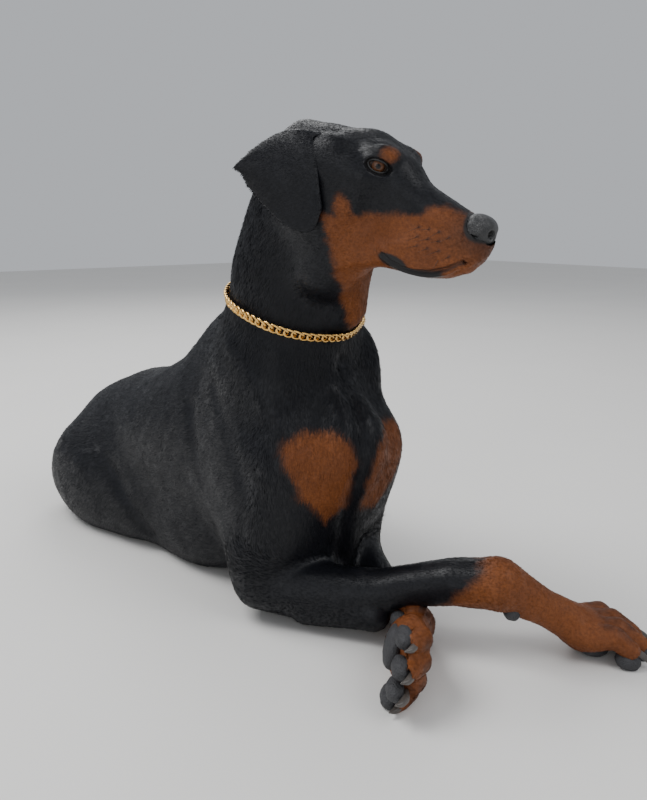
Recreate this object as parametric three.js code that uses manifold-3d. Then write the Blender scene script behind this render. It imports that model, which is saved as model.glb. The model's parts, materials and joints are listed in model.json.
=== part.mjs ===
// A life-size Doberman pinscher lying on its elbows, its forelegs crossed, its hips rolled to the right.
// Units are millimetres. +X runs from tail to chest, +Y to the dog's left, +Z up; the floor is Z = 0.
import * as THREE from 'three';
import Module from 'manifold-3d';

const wasm = await Module();
wasm.setup();

// Driving dimensions.
const GAP = 0.3; // clearance between neighbouring solids
const CELL = {
  body: [31, 24, 24], neck: [20, 20, 20], head: [14, 14, 14], leg: [18, 18, 18], paw: [15, 15, 15],
};

const HEAD = { at: [239, -23, 487], yaw: 19, pitch: 21, roll: 0 }; // the point midway between the eyes
const EYE = { at: [1, 24.5, 0], radius: 11.5 };
const NOSE = { at: [109, 0, -24], size: [15.5, 17.5, 15] };
const CHAIN = { links: 28, wire: 2.2, length: 22, width: 10.5, tilt: 32, clearance: 2.4 };

const ELBOW = { right: [82, -66, 42], left: [62, 78, 42] };
const CARPUS = { right: [298, 70, 76], left: [227, 29, 20] };
const STIFLE = { right: [-165, 20, 46], left: [-212, 128, 104] };
const HOCK = { right: [-138, 138, 30], left: [-322, 236, 38] };
const PAWS = {
  front_right: { at: [344, 156, 18], yaw: 49, pitch: 6, roll: 0, wrist: 24 },
  front_left: { at: [268, -32, 33], yaw: -40, pitch: 2, roll: -104, wrist: 18 },
  hind_right: { at: [-92, 182, 17], yaw: 28, pitch: 0, roll: 0, wrist: 19 },
  hind_left: { at: [-232, 298, 17], yaw: 12, pitch: 0, roll: 0, wrist: 19 },
};

const BLACK = 0x17181b;
const TAN = 0x8a4522;
const PAD = 0x3a3c40;
const CLAW = 0x55514d;
const GOLD = 0xd9a94a;

// Distance fields: each returns a signed distance, negative inside.
const rad = THREE.MathUtils.degToRad;
const clamp = THREE.MathUtils.clamp;
const sides = [1, -1];
const v3 = (p) => new THREE.Vector3(...p);
const mixed = (a, b, t) => a.map((v, i) => v + (b[i] - v) * t);

function blend(a, b, k) {
  const h = Math.max(k - Math.abs(a - b), 0);
  return Math.min(a, b) - (k > 0 ? (h * h) / (4 * k) : 0);
}

// An ellipsoid, turned by Euler angles in degrees.
function egg(at, size, turn = [0, 0, 0]) {
  const m = new THREE.Matrix4().makeRotationFromEuler(new THREE.Euler(...turn.map(rad), 'ZYX')).elements;
  const [rx, ry, rz] = size;
  return (x, y, z) => {
    const dx = x - at[0];
    const dy = y - at[1];
    const dz = z - at[2];
    const a = (dx * m[0] + dy * m[1] + dz * m[2]) / rx;
    const b = (dx * m[4] + dy * m[5] + dz * m[6]) / ry;
    const c = (dx * m[8] + dy * m[9] + dz * m[10]) / rz;
    const k0 = Math.hypot(a, b, c);
    const k1 = Math.hypot(a / rx, b / ry, c / rz);
    return k1 < 1e-9 ? -Math.min(rx, ry, rz) : (k0 * (k0 - 1)) / k1;
  };
}

// Chains of round cones, each through [x, y, z, radius] stations.
function limb(...chains) {
  const cones = chains.flatMap((stations) => stations.slice(1).map((end, i) => [stations[i], end]));
  return (x, y, z) => {
    let best = Infinity;
    for (const [[ax, ay, az, ar], [bx, by, bz, br]] of cones) {
      const [ux, uy, uz] = [bx - ax, by - ay, bz - az];
      const t = clamp(((x - ax) * ux + (y - ay) * uy + (z - az) * uz) / (ux * ux + uy * uy + uz * uz), 0, 1);
      const d = Math.hypot(x - ax - t * ux, y - ay - t * uy, z - az - t * uz) - ar - t * (br - ar);
      best = Math.min(best, d);
    }
    return best;
  };
}

// A smooth tube through [x, y, z, half width, height above, height below] stations.
// Its sections stand square to its line, and their width runs along Y.
function barrel(stations, steps = 36, power = 2) {
  const line = new THREE.CatmullRomCurve3(stations.map(([x, y, z]) => v3([x, y, z])), false, 'catmullrom');
  const sizes = new THREE.CatmullRomCurve3(stations.map((s) => v3(s.slice(3))), false, 'catmullrom');
  const rings = Array.from({ length: steps + 1 }, (_, i) => {
    const along = line.getTangent(i / steps);
    const wide = new THREE.Vector3(0, 1, 0).addScaledVector(along, -along.y).normalize();
    const up = along.clone().cross(wide);
    return { at: line.getPoint(i / steps), along, wide, up, size: sizes.getPoint(i / steps) };
  });
  const from = new THREE.Vector3();
  const axis = (name, r, next, t) => from.dot(r[name]) * (1 - t) + from.dot(next[name]) * t;
  return (x, y, z) => {
    let near = 0;
    let least = Infinity;
    for (let i = 0; i <= steps; i++) {
      const c = rings[i].at;
      const d = (x - c.x) ** 2 + (y - c.y) ** 2 + (z - c.z) ** 2;
      if (d < least) [near, least] = [i, d];
    }
    const r = rings[near];
    const past = from.set(x, y, z).sub(r.at).dot(r.along);
    const next = rings[clamp(near + Math.sign(past), 0, steps)];
    const span = r.at.distanceTo(next.at);
    const t = span > 0 ? Math.min(Math.abs(past) / span, 1) : 0;
    from.set(x, y, z).addScaledVector(r.at, t - 1).addScaledVector(next.at, -t);
    const w = axis('wide', r, next, t);
    const u = axis('up', r, next, t);
    const l = axis('along', r, next, t);
    const half = r.size.x + (next.size.x - r.size.x) * t;
    const tall = u > 0 ? r.size.y + (next.size.y - r.size.y) * t : r.size.z + (next.size.z - r.size.z) * t;
    const small = Math.min(half, tall);
    const k = (Math.abs(w / half) ** power + Math.abs(u / tall) ** power) ** (1 / power);
    return (Math.hypot(k, l / small) - 1) * small;
  };
}

// Joins [field, blend width] pairs; a negative width carves the form away instead.
function flesh(forms) {
  return (x, y, z) => forms.reduce((d, [form, k]) => {
    const other = form(x, y, z);
    return k < 0 ? -blend(-d, other, -k) : blend(d, other, k);
  }, Infinity);
}

// A place is a frame with the nose or toes along +X and up along +Z.
const turnOf = (place) => new THREE.Quaternion().setFromEuler(
  new THREE.Euler(rad(place.roll), rad(place.pitch), rad(place.yaw), 'ZYX'));
const matrixOf = (place) => (
  new THREE.Matrix4().compose(v3(place.at), turnOf(place), new THREE.Vector3(1, 1, 1))
);
const toPlace = (point, place) => v3(point).applyMatrix4(matrixOf(place).invert()).toArray();
const fromPlace = (point, place) => v3(point).applyMatrix4(matrixOf(place)).toArray();

function placed(field, place) {
  const m = matrixOf(place).invert().elements;
  return (x, y, z) => field(
    m[0] * x + m[4] * y + m[8] * z + m[12],
    m[1] * x + m[5] * y + m[9] * z + m[13],
    m[2] * x + m[6] * y + m[10] * z + m[14]);
}

// Trunk, haunches, shoulders and neck. The trunk's line runs from chest to tail,
// so the first height of its sections is towards the floor and the second towards the back.
const trunk = flesh([
  [barrel([
    [150, 0, 200, 34, 34, 46],
    [112, 0, 190, 58, 78, 96],
    [50, -2, 178, 84, 132, 157],
    [-30, -6, 168, 99, 154, 147],
    [-105, -12, 152, 101, 124, 114],
    [-180, -20, 134, 97, 94, 97],
    [-250, -28, 114, 90, 74, 102],
    [-320, -36, 102, 85, 68, 90],
    [-372, -40, 90, 70, 56, 80],
    [-398, -42, 80, 50, 42, 66],
  ]), 0],
  [egg([146, 0, 168], [34, 40, 52], [0, 20, 0]), 36], // breastbone end
  ...sides.map((s) => [egg([112, s * 36, 150], [46, 38, 62], [0, 14, 0]), 22]), // breast muscles
  [egg([90, 0, 80], [50, 50, 84]), 40], // keel between the forelegs
  [egg([-120, -44, 48], [120, 56, 60]), 40], // belly on the floor
]);
const haunches = flesh([
  [egg([-300, -108, 68], [84, 50, 72], [0, 0, 14]), 0], // right thigh, lying
  [egg([-222, -98, 56], [88, 40, 58], [0, 0, 12]), 40],
  [egg([-372, -96, 60], [40, 42, 54]), 30],
  [egg([-330, 30, 104], [84, 62, 68], [0, 0, -14]), 40], // left haunch, raised
  [limb([[-330, 52, 108, 58], [...STIFLE.left, 38]]), 40], // left thigh
]);
const shoulder = (s, elbow) => flesh([
  [limb([[118, s * 58, 176, 38], [elbow[0] + 6, elbow[1], elbow[2] + 18, 32]]), 0], // upper arm
  [egg([58, s * 66, 218], [58, 30, 92], [0, 24, 0]), 40], // shoulder blade
  [egg([elbow[0] - 24, s * 72, 128], [52, 30, 78], [0, -8, 0]), 34], // triceps
  [limb([[elbow[0] - 24, elbow[1], elbow[2] + 4, 22], [elbow[0] - 6, elbow[1], elbow[2] + 26, 29]]), 24],
]);
const neck = flesh([
  [barrel([
    [46, -10, 285, 72, 74, 86],
    [66, -16, 325, 72, 74, 80],
    [88, -27, 378, 69, 73, 73],
    [113, -36, 425, 61, 66, 66],
    [136, -44, 465, 54, 60, 60],
  ]), 0],
  [egg([-20, -8, 258], [62, 38, 52], [0, 24, 0]), 40], // withers
  [limb([[176, -20, 392, 26], [152, -6, 344, 23]]), 30], // throat
]);

// Head, in its own frame.
const head = flesh([
  [egg([-56, 0, -11], [64, 44, 30]), 0], // braincase
  [egg([-46, 0, 3], [54, 32, 16]), 18],
  [egg([-106, 0, -9], [18, 18, 20]), 22],
  [limb([[-18, 0, 2, 28], [8, 0, -6, 27]]), 20],
  [barrel([
    [-6, 0, -16, 32, 26, 40],
    [40, 0, -26, 26, 26, 46],
    [80, 0, -32, 24, 24, 41],
    [108, 0, -33, 19, 19, 28],
  ], 24, 2.4), 22], // muzzle
  ...sides.map((s) => [egg([3, s * 23, 13], [17, 13, 10], [0, 0, s * 14]), 12]), // brow
  ...sides.map((s) => [limb([[-4, s * 35, -15, 9], [-62, s * 45, -12, 10]]), 22]), // cheek arch
  ...sides.map((s) => [egg([-44, s * 32, -42], [40, 18, 38]), 26]), // cheek
  ...sides.map((s) => [egg([60, s * 14, -64], [42, 12, 20]), 14]), // flews
  [limb([
    [-50, 0, -62, 30], [14, 0, -76, 23], [60, 0, -71, 15], [92, 0, -64, 12.5], [106, 0, -58, 9],
  ]), 12], // lower jaw
  ...sides.map((s) => [egg([-46, s * 36, 2], [18, 11, 12]), 10]), // front of the ear's base
  [limb([[-40, 0, -80, 32], [-32, 0, -122, 26]]), 44], // throat
]);

// Legs.
const forearm = {
  right: limb([
    [...ELBOW.right, 34], [120, -42, 38, 32], [160, -17, 38, 29], [195, 5, 49, 22], [225, 24, 60, 21],
    [262, 47, 71, 23], [...CARPUS.right, 25],
  ], [[130, -38, 30, 28], [196, -4, 28, 18]]),
  left: limb([
    [...ELBOW.left, 32], [110, 61, 30, 25], [160, 45, 22, 20], [202, 36, 19, 17.5], [...CARPUS.left, 18],
  ]),
};
const shank = {
  right: limb([[...STIFLE.right, 34], [...mixed(STIFLE.right, HOCK.right, 0.5), 26], [...HOCK.right, 19]]),
  left: limb([[...STIFLE.left, 29], [...mixed(STIFLE.left, HOCK.left, 0.4), 30], [...HOCK.left, 20]]),
};
const tailLine = [
  [-400, -24, 92, 24], [-432, 4, 58, 18], [-452, 50, 28, 14], [-446, 110, 16, 12],
  [-420, 168, 12, 10], [-378, 214, 9, 7],
];

// A paw in its own frame: knuckles over the origin, toes along +X, sole towards -Z.
const TOES = [
  { y: -22, reach: 38, splay: -6, bend: 0 },
  { y: -8, reach: 54, splay: -2, bend: 2 },
  { y: 8, reach: 54, splay: 2, bend: 2 },
  { y: 22, reach: 38, splay: 6, bend: 0 },
];
function toe({ y, reach, splay, bend }) {
  return limb([
    [-6, y * 0.8, 6, 13],
    [reach * 0.45, y + splay * 0.4, 10 + bend, 11.5],
    [reach * 0.82, y + splay * 0.8, 1, 10.5],
    [reach, y + splay, -5, 9],
  ]);
}
const pawForm = (wrist, thick) => flesh([
  [limb([[...wrist, thick], [...mixed(wrist, [-10, 0, 6], 0.55), 18], [-10, 0, 5, 21]]), 0],
  [egg([-4, 0, 3], [24, 30, 14]), 14],
  ...TOES.map((t) => [toe(t), 4]),
]);

// Meshing.
const CORNERS = [0, 1].flatMap((z) => [0, 1].flatMap((y) => [0, 1].map((x) => [x, y, z])));
const EDGES = CORNERS.flatMap((a) => (
  [0, 1, 2].filter((c) => !a[c]).map((c) => [a, a.map((v, i) => (i === c ? 1 : v))])
));

// Surface nets over a box: a vertex in each cell that the surface crosses, a quad round each crossed edge.
function solidOf(field, low, high, cell, tries = 0) {
  const n = low.map((v, i) => Math.ceil((high[i] - v) / cell[i]) + 1);
  const at = (i, j, k) => (k * n[1] + j) * n[0] + i;
  const walls = (p) => p.flatMap((v, c) => [low[c] + cell[c] - v, v - high[c] + cell[c]]);
  const f = (x, y, z) => Math.max(field(x, y, z), ...walls([x, y, z]));
  const value = new Float64Array(n[0] * n[1] * n[2]);
  for (let k = 0; k < n[2]; k++)
    for (let j = 0; j < n[1]; j++)
      for (let i = 0; i < n[0]; i++)
        value[at(i, j, k)] = f(low[0] + i * cell[0], low[1] + j * cell[1], low[2] + k * cell[2]);
  const index = new Map();
  const points = [];
  for (let k = 0; k < n[2] - 1; k++)
    for (let j = 0; j < n[1] - 1; j++)
      for (let i = 0; i < n[0] - 1; i++) {
        const crossings = EDGES.map(([a, b]) => {
          const [va, vb] = [a, b].map((e) => value[at(i + e[0], j + e[1], k + e[2])]);
          return va < 0 === vb < 0 ? null : mixed(a, b, va / (va - vb));
        }).filter(Boolean);
        if (!crossings.length) continue;
        index.set(at(i, j, k), points.length);
        points.push([i, j, k].map((v, c) => {
          const mean = crossings.reduce((sum, p) => sum + p[c], 0) / crossings.length;
          return low[c] + (v + mean) * cell[c];
        }));
      }
  const faces = [];
  const quad = (flip, ...cells) => {
    const [p, q, r, s] = cells.map((c) => index.get(at(...c)));
    faces.push(...(flip ? [p, r, q, p, s, r] : [p, q, r, p, r, s]));
  };
  for (let k = 1; k < n[2] - 1; k++)
    for (let j = 1; j < n[1] - 1; j++)
      for (let i = 1; i < n[0] - 1; i++) {
        const inside = value[at(i, j, k)] < 0;
        if (inside !== value[at(i + 1, j, k)] < 0)
          quad(!inside, [i, j - 1, k - 1], [i, j, k - 1], [i, j, k], [i, j - 1, k]);
        if (inside !== value[at(i, j + 1, k)] < 0)
          quad(!inside, [i - 1, j, k - 1], [i - 1, j, k], [i, j, k], [i, j, k - 1]);
        if (inside !== value[at(i, j, k + 1)] < 0)
          quad(!inside, [i - 1, j - 1, k], [i, j - 1, k], [i, j, k], [i - 1, j, k]);
      }
  // Where two sheets of the surface pinch along one edge, the grid is shifted a little and made again.
  if (pinched(faces) && tries < 12) return solidOf(field, low.map((v) => v - 0.9), high, cell, tries + 1);
  return solid(points.map((p) => settled(p, f, Math.min(...cell))), faces);
}

function pinched(faces) {
  const uses = new Map();
  for (let i = 0; i < faces.length; i += 3)
    for (const [a, b] of [[0, 1], [1, 2], [2, 0]]) {
      const key = [faces[i + a], faces[i + b]].sort((x, y) => x - y).join();
      uses.set(key, (uses.get(key) ?? 0) + 1);
    }
  return [...uses.values()].some((count) => count !== 2);
}

// Moves a point onto the surface along the field's slope, at most half a cell.
function settled(start, f, cell) {
  const e = 0.2;
  let point = start;
  for (let step = 0; step < 3; step++) {
    const [x, y, z] = point;
    const d = f(x, y, z);
    const slope = [
      f(x + e, y, z) - f(x - e, y, z), f(x, y + e, z) - f(x, y - e, z), f(x, y, z + e) - f(x, y, z - e),
    ]
      .map((s) => s / (2 * e));
    const steep = Math.max(slope[0] ** 2 + slope[1] ** 2 + slope[2] ** 2, 0.25);
    point = point.map((v, c) => clamp(v - (d * slope[c]) / steep, start[c] - cell / 2, start[c] + cell / 2));
  }
  return point;
}

const solid = (points, faces) => new wasm.Manifold(new wasm.Mesh({
  numProp: 3, vertProperties: new Float32Array(points.flat()), triVerts: new Uint32Array(faces) }));

// The largest closed surface of a solid.
const largest = (body) => body.decompose().sort((a, b) => b.volume() - a.volume())[0];

const above = (body, height = 0) => body.trimByPlane([0, 0, 1], height);

// The same solid with every point moved out along its normal.
function grown(body, by = GAP) {
  const { vertProperties: p, triVerts: t } = body.getMesh();
  const at = (i) => new THREE.Vector3(p[3 * i], p[3 * i + 1], p[3 * i + 2]);
  const points = Array.from({ length: p.length / 3 }, (_, i) => at(i));
  const normals = points.map(() => new THREE.Vector3());
  for (let i = 0; i < t.length; i += 3) {
    const [a, b, c] = [points[t[i]], points[t[i + 1]], points[t[i + 2]]];
    const normal = b.clone().sub(a).cross(c.clone().sub(a));
    for (const v of [t[i], t[i + 1], t[i + 2]]) normals[v].add(normal);
  }
  return solid(points.map((q, i) => q.addScaledVector(normals[i].normalize(), by).toArray()), Array.from(t));
}

// Cuts a neighbour out of a solid, with the gap round it.
const clear = (made, ...others) => (
  others.reduce((rest, other) => rest.subtract(grown(other)).subtract(other), made)
);

// A closed tube of round sections through [point, radius] rings, with a point at each end.
function tube(line, radii, around = 8) {
  const points = line.map((p) => v3(p));
  const rings = points.map((p, i) => {
    const ahead = points[Math.min(i + 1, points.length - 1)];
    const along = ahead.clone().sub(points[Math.max(i - 1, 0)]).normalize();
    const side = new THREE.Vector3(0.13, 1, 0.31).cross(along).normalize();
    const up = along.clone().cross(side);
    return Array.from({ length: around }, (_, a) => {
      const turn = (2 * Math.PI * a) / around;
      const out = p.clone().addScaledVector(side, radii[i] * Math.cos(turn));
      return out.addScaledVector(up, radii[i] * Math.sin(turn));
    });
  });
  return sheetSolid(rings.map((ring) => ring.map((p) => p.toArray())), line[0], line.at(-1));
}

// Closes a stack of equal rings into a solid, with a fan to one point at each end.
function sheetSolid(rings, first, last) {
  const around = rings[0].length;
  const points = [...rings.flat(), first, last];
  const faces = [];
  for (let a = 0; a < around; a++) {
    const b = (a + 1) % around;
    faces.push(points.length - 2, b, a);
    for (let r = 0; r + 1 < rings.length; r++) {
      const [p, q, s, t] = [r * around + a, r * around + b, (r + 1) * around + b, (r + 1) * around + a];
      faces.push(p, q, s, p, s, t);
    }
    const end = (rings.length - 1) * around;
    faces.push(points.length - 1, end + a, end + b);
  }
  const made = solid(points, faces);
  return made.volume() < 0 ? solid(points, faces.reverse()) : made;
}

// A ball or ellipsoid as a solid, with its pole along +X.
function ball(at, size, place, columns = 12, rows = 8) {
  const rings = [];
  for (let r = 1; r < rows; r++) {
    const down = (Math.PI * r) / rows;
    rings.push(Array.from({ length: columns }, (_, a) => {
      const turn = (2 * Math.PI * a) / columns;
      const p = [Math.cos(down), Math.sin(down) * Math.cos(turn), Math.sin(down) * Math.sin(turn)];
      return fromPlace(p.map((v, c) => at[c] + v * size[c]), place);
    }));
  }
  const end = (s) => fromPlace([at[0] + s * size[0], at[1], at[2]], place);
  return sheetSolid(rings, end(1), end(-1));
}

// A block given by its low and high corners, turned by a yaw in degrees about its own middle.
function block(low, high, yaw = 0) {
  const middle = mixed(low, high, 0.5);
  const geometry = new THREE.BoxGeometry(...high.map((v, i) => v - low[i]));
  const spin = new THREE.Matrix4().makeRotationZ(rad(yaw)).setPosition(...middle);
  const points = [];
  const position = geometry.getAttribute('position');
  const merged = new Map();
  const index = Array.from({ length: position.count }, (_, i) => {
    const p = new THREE.Vector3().fromBufferAttribute(position, i);
    const key = p.toArray().join();
    if (!merged.has(key)) merged.set(key, points.push(p.applyMatrix4(spin).toArray()) - 1);
    return merged.get(key);
  });
  return solid(points, Array.from(geometry.index.array, (i) => index[i]));
}

// Whole forms.
const headField = placed(head, HEAD);
const body = flesh([
  [trunk, 0], [haunches, 40], [shoulder(-1, ELBOW.right), 34], [shoulder(1, ELBOW.left), 34], [neck, 50],
  [headField, 22],
]);
const neckFrom = { normal: [0.52, -0.1, 0.85], offset: 285 }; // the chain lies just above this plane
const neckTo = { normal: [0.64, -0.2, 0.74], offset: 432 };
const beyond = (made, { normal, offset }) => (
  made.trimByPlane(normal, offset * Math.hypot(...normal) + GAP / 2)
);
const before = (made, { normal, offset }) => (
  made.trimByPlane(normal.map((v) => -v), -offset * Math.hypot(...normal) + GAP / 2)
);

const nodes = new Map();
const put = (name, body, color, roughness = 0.6, metalness = 0) => {
  nodes.set(name, { body, color, roughness, metalness });
};

// Legs, paws, claws and pads.
const pawSolids = {};
const legSolids = {};
for (const [name, place] of Object.entries(PAWS)) {
  const [end, side] = name.split('_');
  const front = end === 'front';
  const wrist = toPlace((front ? CARPUS : HOCK)[side], place);
  const form = placed(pawForm(wrist, place.wrist), place);
  const reach = 175;
  let made = solidOf(form, place.at.map((v) => v - reach), place.at.map((v) => v + reach), CELL.paw);
  const back = v3((front ? CARPUS : HOCK)[side]);
  const along = v3(place.at).sub(back).normalize();
  const cut = { normal: along.toArray(), offset: along.dot(back) };
  made = above(beyond(made, cut));
  TOES.forEach((t, i) => {
    const tip = [t.reach + 2, t.y + t.splay, -4];
    const hook = [[-12, 0, 6], [-3, 0, 5], [5, 0, 1], [10, 0, -5]];
    const line = hook.map((p) => fromPlace(p.map((v, c) => v + tip[c]), place));
    const claw = above(tube(line, [3.2, 4, 3, 0.8], 5), 0.6);
    put(`claw_${name}_${i + 1}`, claw, CLAW, 0.45);
    made = clear(made, claw);
    if (!front) return;
    const pad = above(ball([t.reach - 9, t.y + t.splay, -8], [12, 8.5, 8], place, 7, 5), 0);
    put(`pad_${name}_${i + 1}`, clear(pad, claw), PAD, 0.8);
    made = clear(made, pad);
  });
  if (front) {
    const pad = above(ball([2, 0, -10], [17, 19, 8], place, 7, 5), 0);
    put(`pad_${name}_middle`, pad, PAD, 0.8);
    made = clear(made, pad);
    const stop = above(ball([wrist[0] + 14, wrist[1] - 6, wrist[2] - 22], [7, 7, 8], place, 7, 5), 0);
    put(`pad_${name}_wrist`, stop, PAD, 0.8);
    made = clear(made, stop);
  }
  pawSolids[name] = made;
  const legField = front ? forearm[side] : shank[side];
  const ends = front ? [ELBOW[side], CARPUS[side]] : [STIFLE[side], HOCK[side]];
  const low = [0, 1, 2].map((c) => Math.min(ends[0][c], ends[1][c]) - 60);
  const high = [0, 1, 2].map((c) => Math.max(ends[0][c], ends[1][c]) + 60);
  const leg = above(before(solidOf(legField, low, high, CELL.leg), cut));
  legSolids[name] = leg;
}
for (const [name, made] of Object.entries(pawSolids)) {
  const crossing = name === 'front_left' ? [legSolids.front_right] : [];
  put(`paw_${name}`, largest(clear(made, ...crossing)), TAN);
}

// Body parts.
let lower = above(before(solidOf(body, [-470, -230, -50], [260, 260, 470], CELL.body), neckFrom));
const tailSolid = above(solidOf(limb(tailLine), [-500, -80, -30], [-340, 260, 140], CELL.leg));
lower = clear(lower, tailSolid, ...Object.values(legSolids));
const quarters = {
  foreleg_right_upper: [[-18, -230, -20], [160, -58, 330]],
  foreleg_left_upper: [[-18, 58, -20], [160, 230, 330]],
  hindleg_right_upper: [[-450, -230, -20], [-150, -72, 330]],
  hindleg_left_upper: [[-450, 52, -20], [-150, 260, 330]],
};
for (const [name, [low, high]] of Object.entries(quarters)) {
  put(name, largest(lower.intersect(block(low, high))), BLACK);
  lower = lower.subtract(block(low.map((v) => v - GAP), high.map((v) => v + GAP)));
}
put('torso', largest(lower), BLACK);
put('tail', largest(tailSolid), BLACK);
for (const [name, leg] of Object.entries(legSolids)) {
  const [end, side] = name.split('_');
  put(`${end === 'front' ? 'foreleg' : 'hindleg'}_${side}_lower`, largest(leg), BLACK);
}
const throat = solidOf(body, [-80, -160, 200], [300, 120, 580], CELL.neck);
put('neck', largest(before(beyond(throat, neckFrom), neckTo)), BLACK);

// Head.
let skull = beyond(solidOf(body, [40, -140, 330], [400, 110, 610], CELL.head), neckTo);
const eyes = {};
for (const s of sides) {
  const side = s > 0 ? 'left' : 'right';
  const at = [EYE.at[0], s * EYE.at[1], EYE.at[2]];
  const eye = ball(at, [EYE.radius, EYE.radius, EYE.radius], HEAD, 12, 6);
  put(`eye_${side}`, eye, 0x2c1a10, 0.15);
  // The lids are a shell over the eyeball with an almond opening that faces out and a little forward.
  const shell = ball(at, [14.2, 14.2, 14.2], HEAD, 12, 8);
  const gaze = { ...HEAD, at: fromPlace([at[0] + 3, at[1] + s * 12, at[2] + 0.5], HEAD) };
  const lid = (z) => ball([0, 0, z], [11.5, 12, 11.5], gaze, 10, 8);
  const slit = lid(6).intersect(lid(-6));
  skull = clear(skull.add(shell).subtract(slit), eye);
}
let nose = ball(NOSE.at, NOSE.size, HEAD, 10, 7);
for (const s of sides) {
  const nostril = [[132, s * 6, -20], [120, s * 7.5, -21], [112, s * 13, -23], [110, s * 20, -25]];
  nose = nose.subtract(tube(nostril.map((p) => fromPlace(p, HEAD)), [3.6, 3.6, 3, 1.2], 5));
}
skull = clear(skull, ball(NOSE.at, NOSE.size, HEAD, 10, 7));
put('nose', largest(nose), 0x222326, 0.5);

// The line of the mouth is a groove from under the nose back to the corner behind the flews.
const MOUTH = [[117, -42], [110, -52], [100, -61], [86, -70], [72, -76], [58, -79], [46, -79], [36, -77]];
for (const s of sides) {
  const line = MOUTH.map(([x, z], i) => {
    const y = i ? outward(head, x, z, s) : 0;
    return fromPlace([x, y, z], HEAD);
  });
  skull = skull.subtract(tube(line, line.map((_, i) => (i === 0 || i === line.length - 1 ? 0.8 : 1.7)), 6));
}
// Where the surface lies to the side at a place on the head's middle plane.
function outward(field, x, z, s) {
  let y = 60;
  while (y > 0 && field(x, s * y, z) > 0) y -= 0.25;
  return s * y;
}
skull = largest(skull);
put('head', skull, BLACK);

// Ears: a sheet from the skull out over the fold and down to the rim.
const EAR = {
  base: [[-44, 32, 12], [-60, 34, 13], [-78, 34, 7], [-92, 34, -5], [-97, 36, -21]],
  fold: [[-62, 47, 7], [-82, 53, 4], [-98, 58, -4], [-110, 68, -21], [-118, 80, -43]],
  fall: [[-46, 55, -12], [-56, 60, -24], [-74, 65, -32], [-92, 70, -42], [-111, 78, -50]],
  rim: [[-24, 56, -54], [-28, 55, -78], [-50, 58, -84], [-78, 63, -75], [-105, 71, -60]],
  thick: 3.4,
};
function earSheet(s) {
  const rows = [EAR.base, EAR.fold, EAR.fall, EAR.rim].map((row) =>
    new THREE.CatmullRomCurve3(row.map(([x, y, z]) => v3([x, s * y, z])), false, 'centripetal'));
  const [across, down] = [7, 7];
  const grid = Array.from({ length: across + 1 }, (_, i) => {
    const stops = rows.map((row) => row.getPoint(i / across));
    const line = new THREE.CatmullRomCurve3(stops, false, 'centripetal');
    return line.getPoints(down);
  });
  const faceNormal = (i, j) => {
    const along = grid[Math.min(i + 1, across)][j].clone().sub(grid[Math.max(i - 1, 0)][j]);
    const drop = grid[i][Math.min(j + 1, down)].clone().sub(grid[i][Math.max(j - 1, 0)]);
    return along.cross(drop).normalize().multiplyScalar(EAR.thick / 2);
  };
  const face = (k) => grid.map((row, i) => row.map((p, j) => {
    const edge = Math.min(i, across - i) === 0 || j === down ? 0.45 : 1;
    return p.clone().addScaledVector(faceNormal(i, j), k * edge).toArray();
  }));
  const points = [...face(1).flat(), ...face(-1).flat()].map((p) => fromPlace(p, HEAD));
  const w = down + 1;
  const id = (i, j, under) => i * w + j + under * w * (across + 1);
  const faces = [];
  for (let i = 0; i < across; i++)
    for (let j = 0; j < down; j++) {
      const [a, b, c, d] = [[i, j], [i + 1, j], [i + 1, j + 1], [i, j + 1]];
      faces.push(id(...a, 0), id(...b, 0), id(...c, 0), id(...a, 0), id(...c, 0), id(...d, 0));
      faces.push(id(...a, 1), id(...c, 1), id(...b, 1), id(...a, 1), id(...d, 1), id(...c, 1));
    }
  const rimOf = (list) => list.forEach(([i, j], n) => {
    const [k, l] = list[(n + 1) % list.length];
    faces.push(id(i, j, 0), id(i, j, 1), id(k, l, 1), id(i, j, 0), id(k, l, 1), id(k, l, 0));
  });
  rimOf([
    ...Array.from({ length: across }, (_, i) => [i, 0]),
    ...Array.from({ length: down }, (_, j) => [across, j]),
    ...Array.from({ length: across }, (_, i) => [across - i, down]),
    ...Array.from({ length: down }, (_, j) => [0, down - j]),
  ]);
  const made = solid(points, faces);
  return made.volume() > 0 ? made : solid(points, faces.reverse());
}
for (const s of sides) {
  const ear = largest(clear(earSheet(s), skull, nodes.get('neck').body));
  put(`ear_${s > 0 ? 'left' : 'right'}`, ear, BLACK);
}

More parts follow.
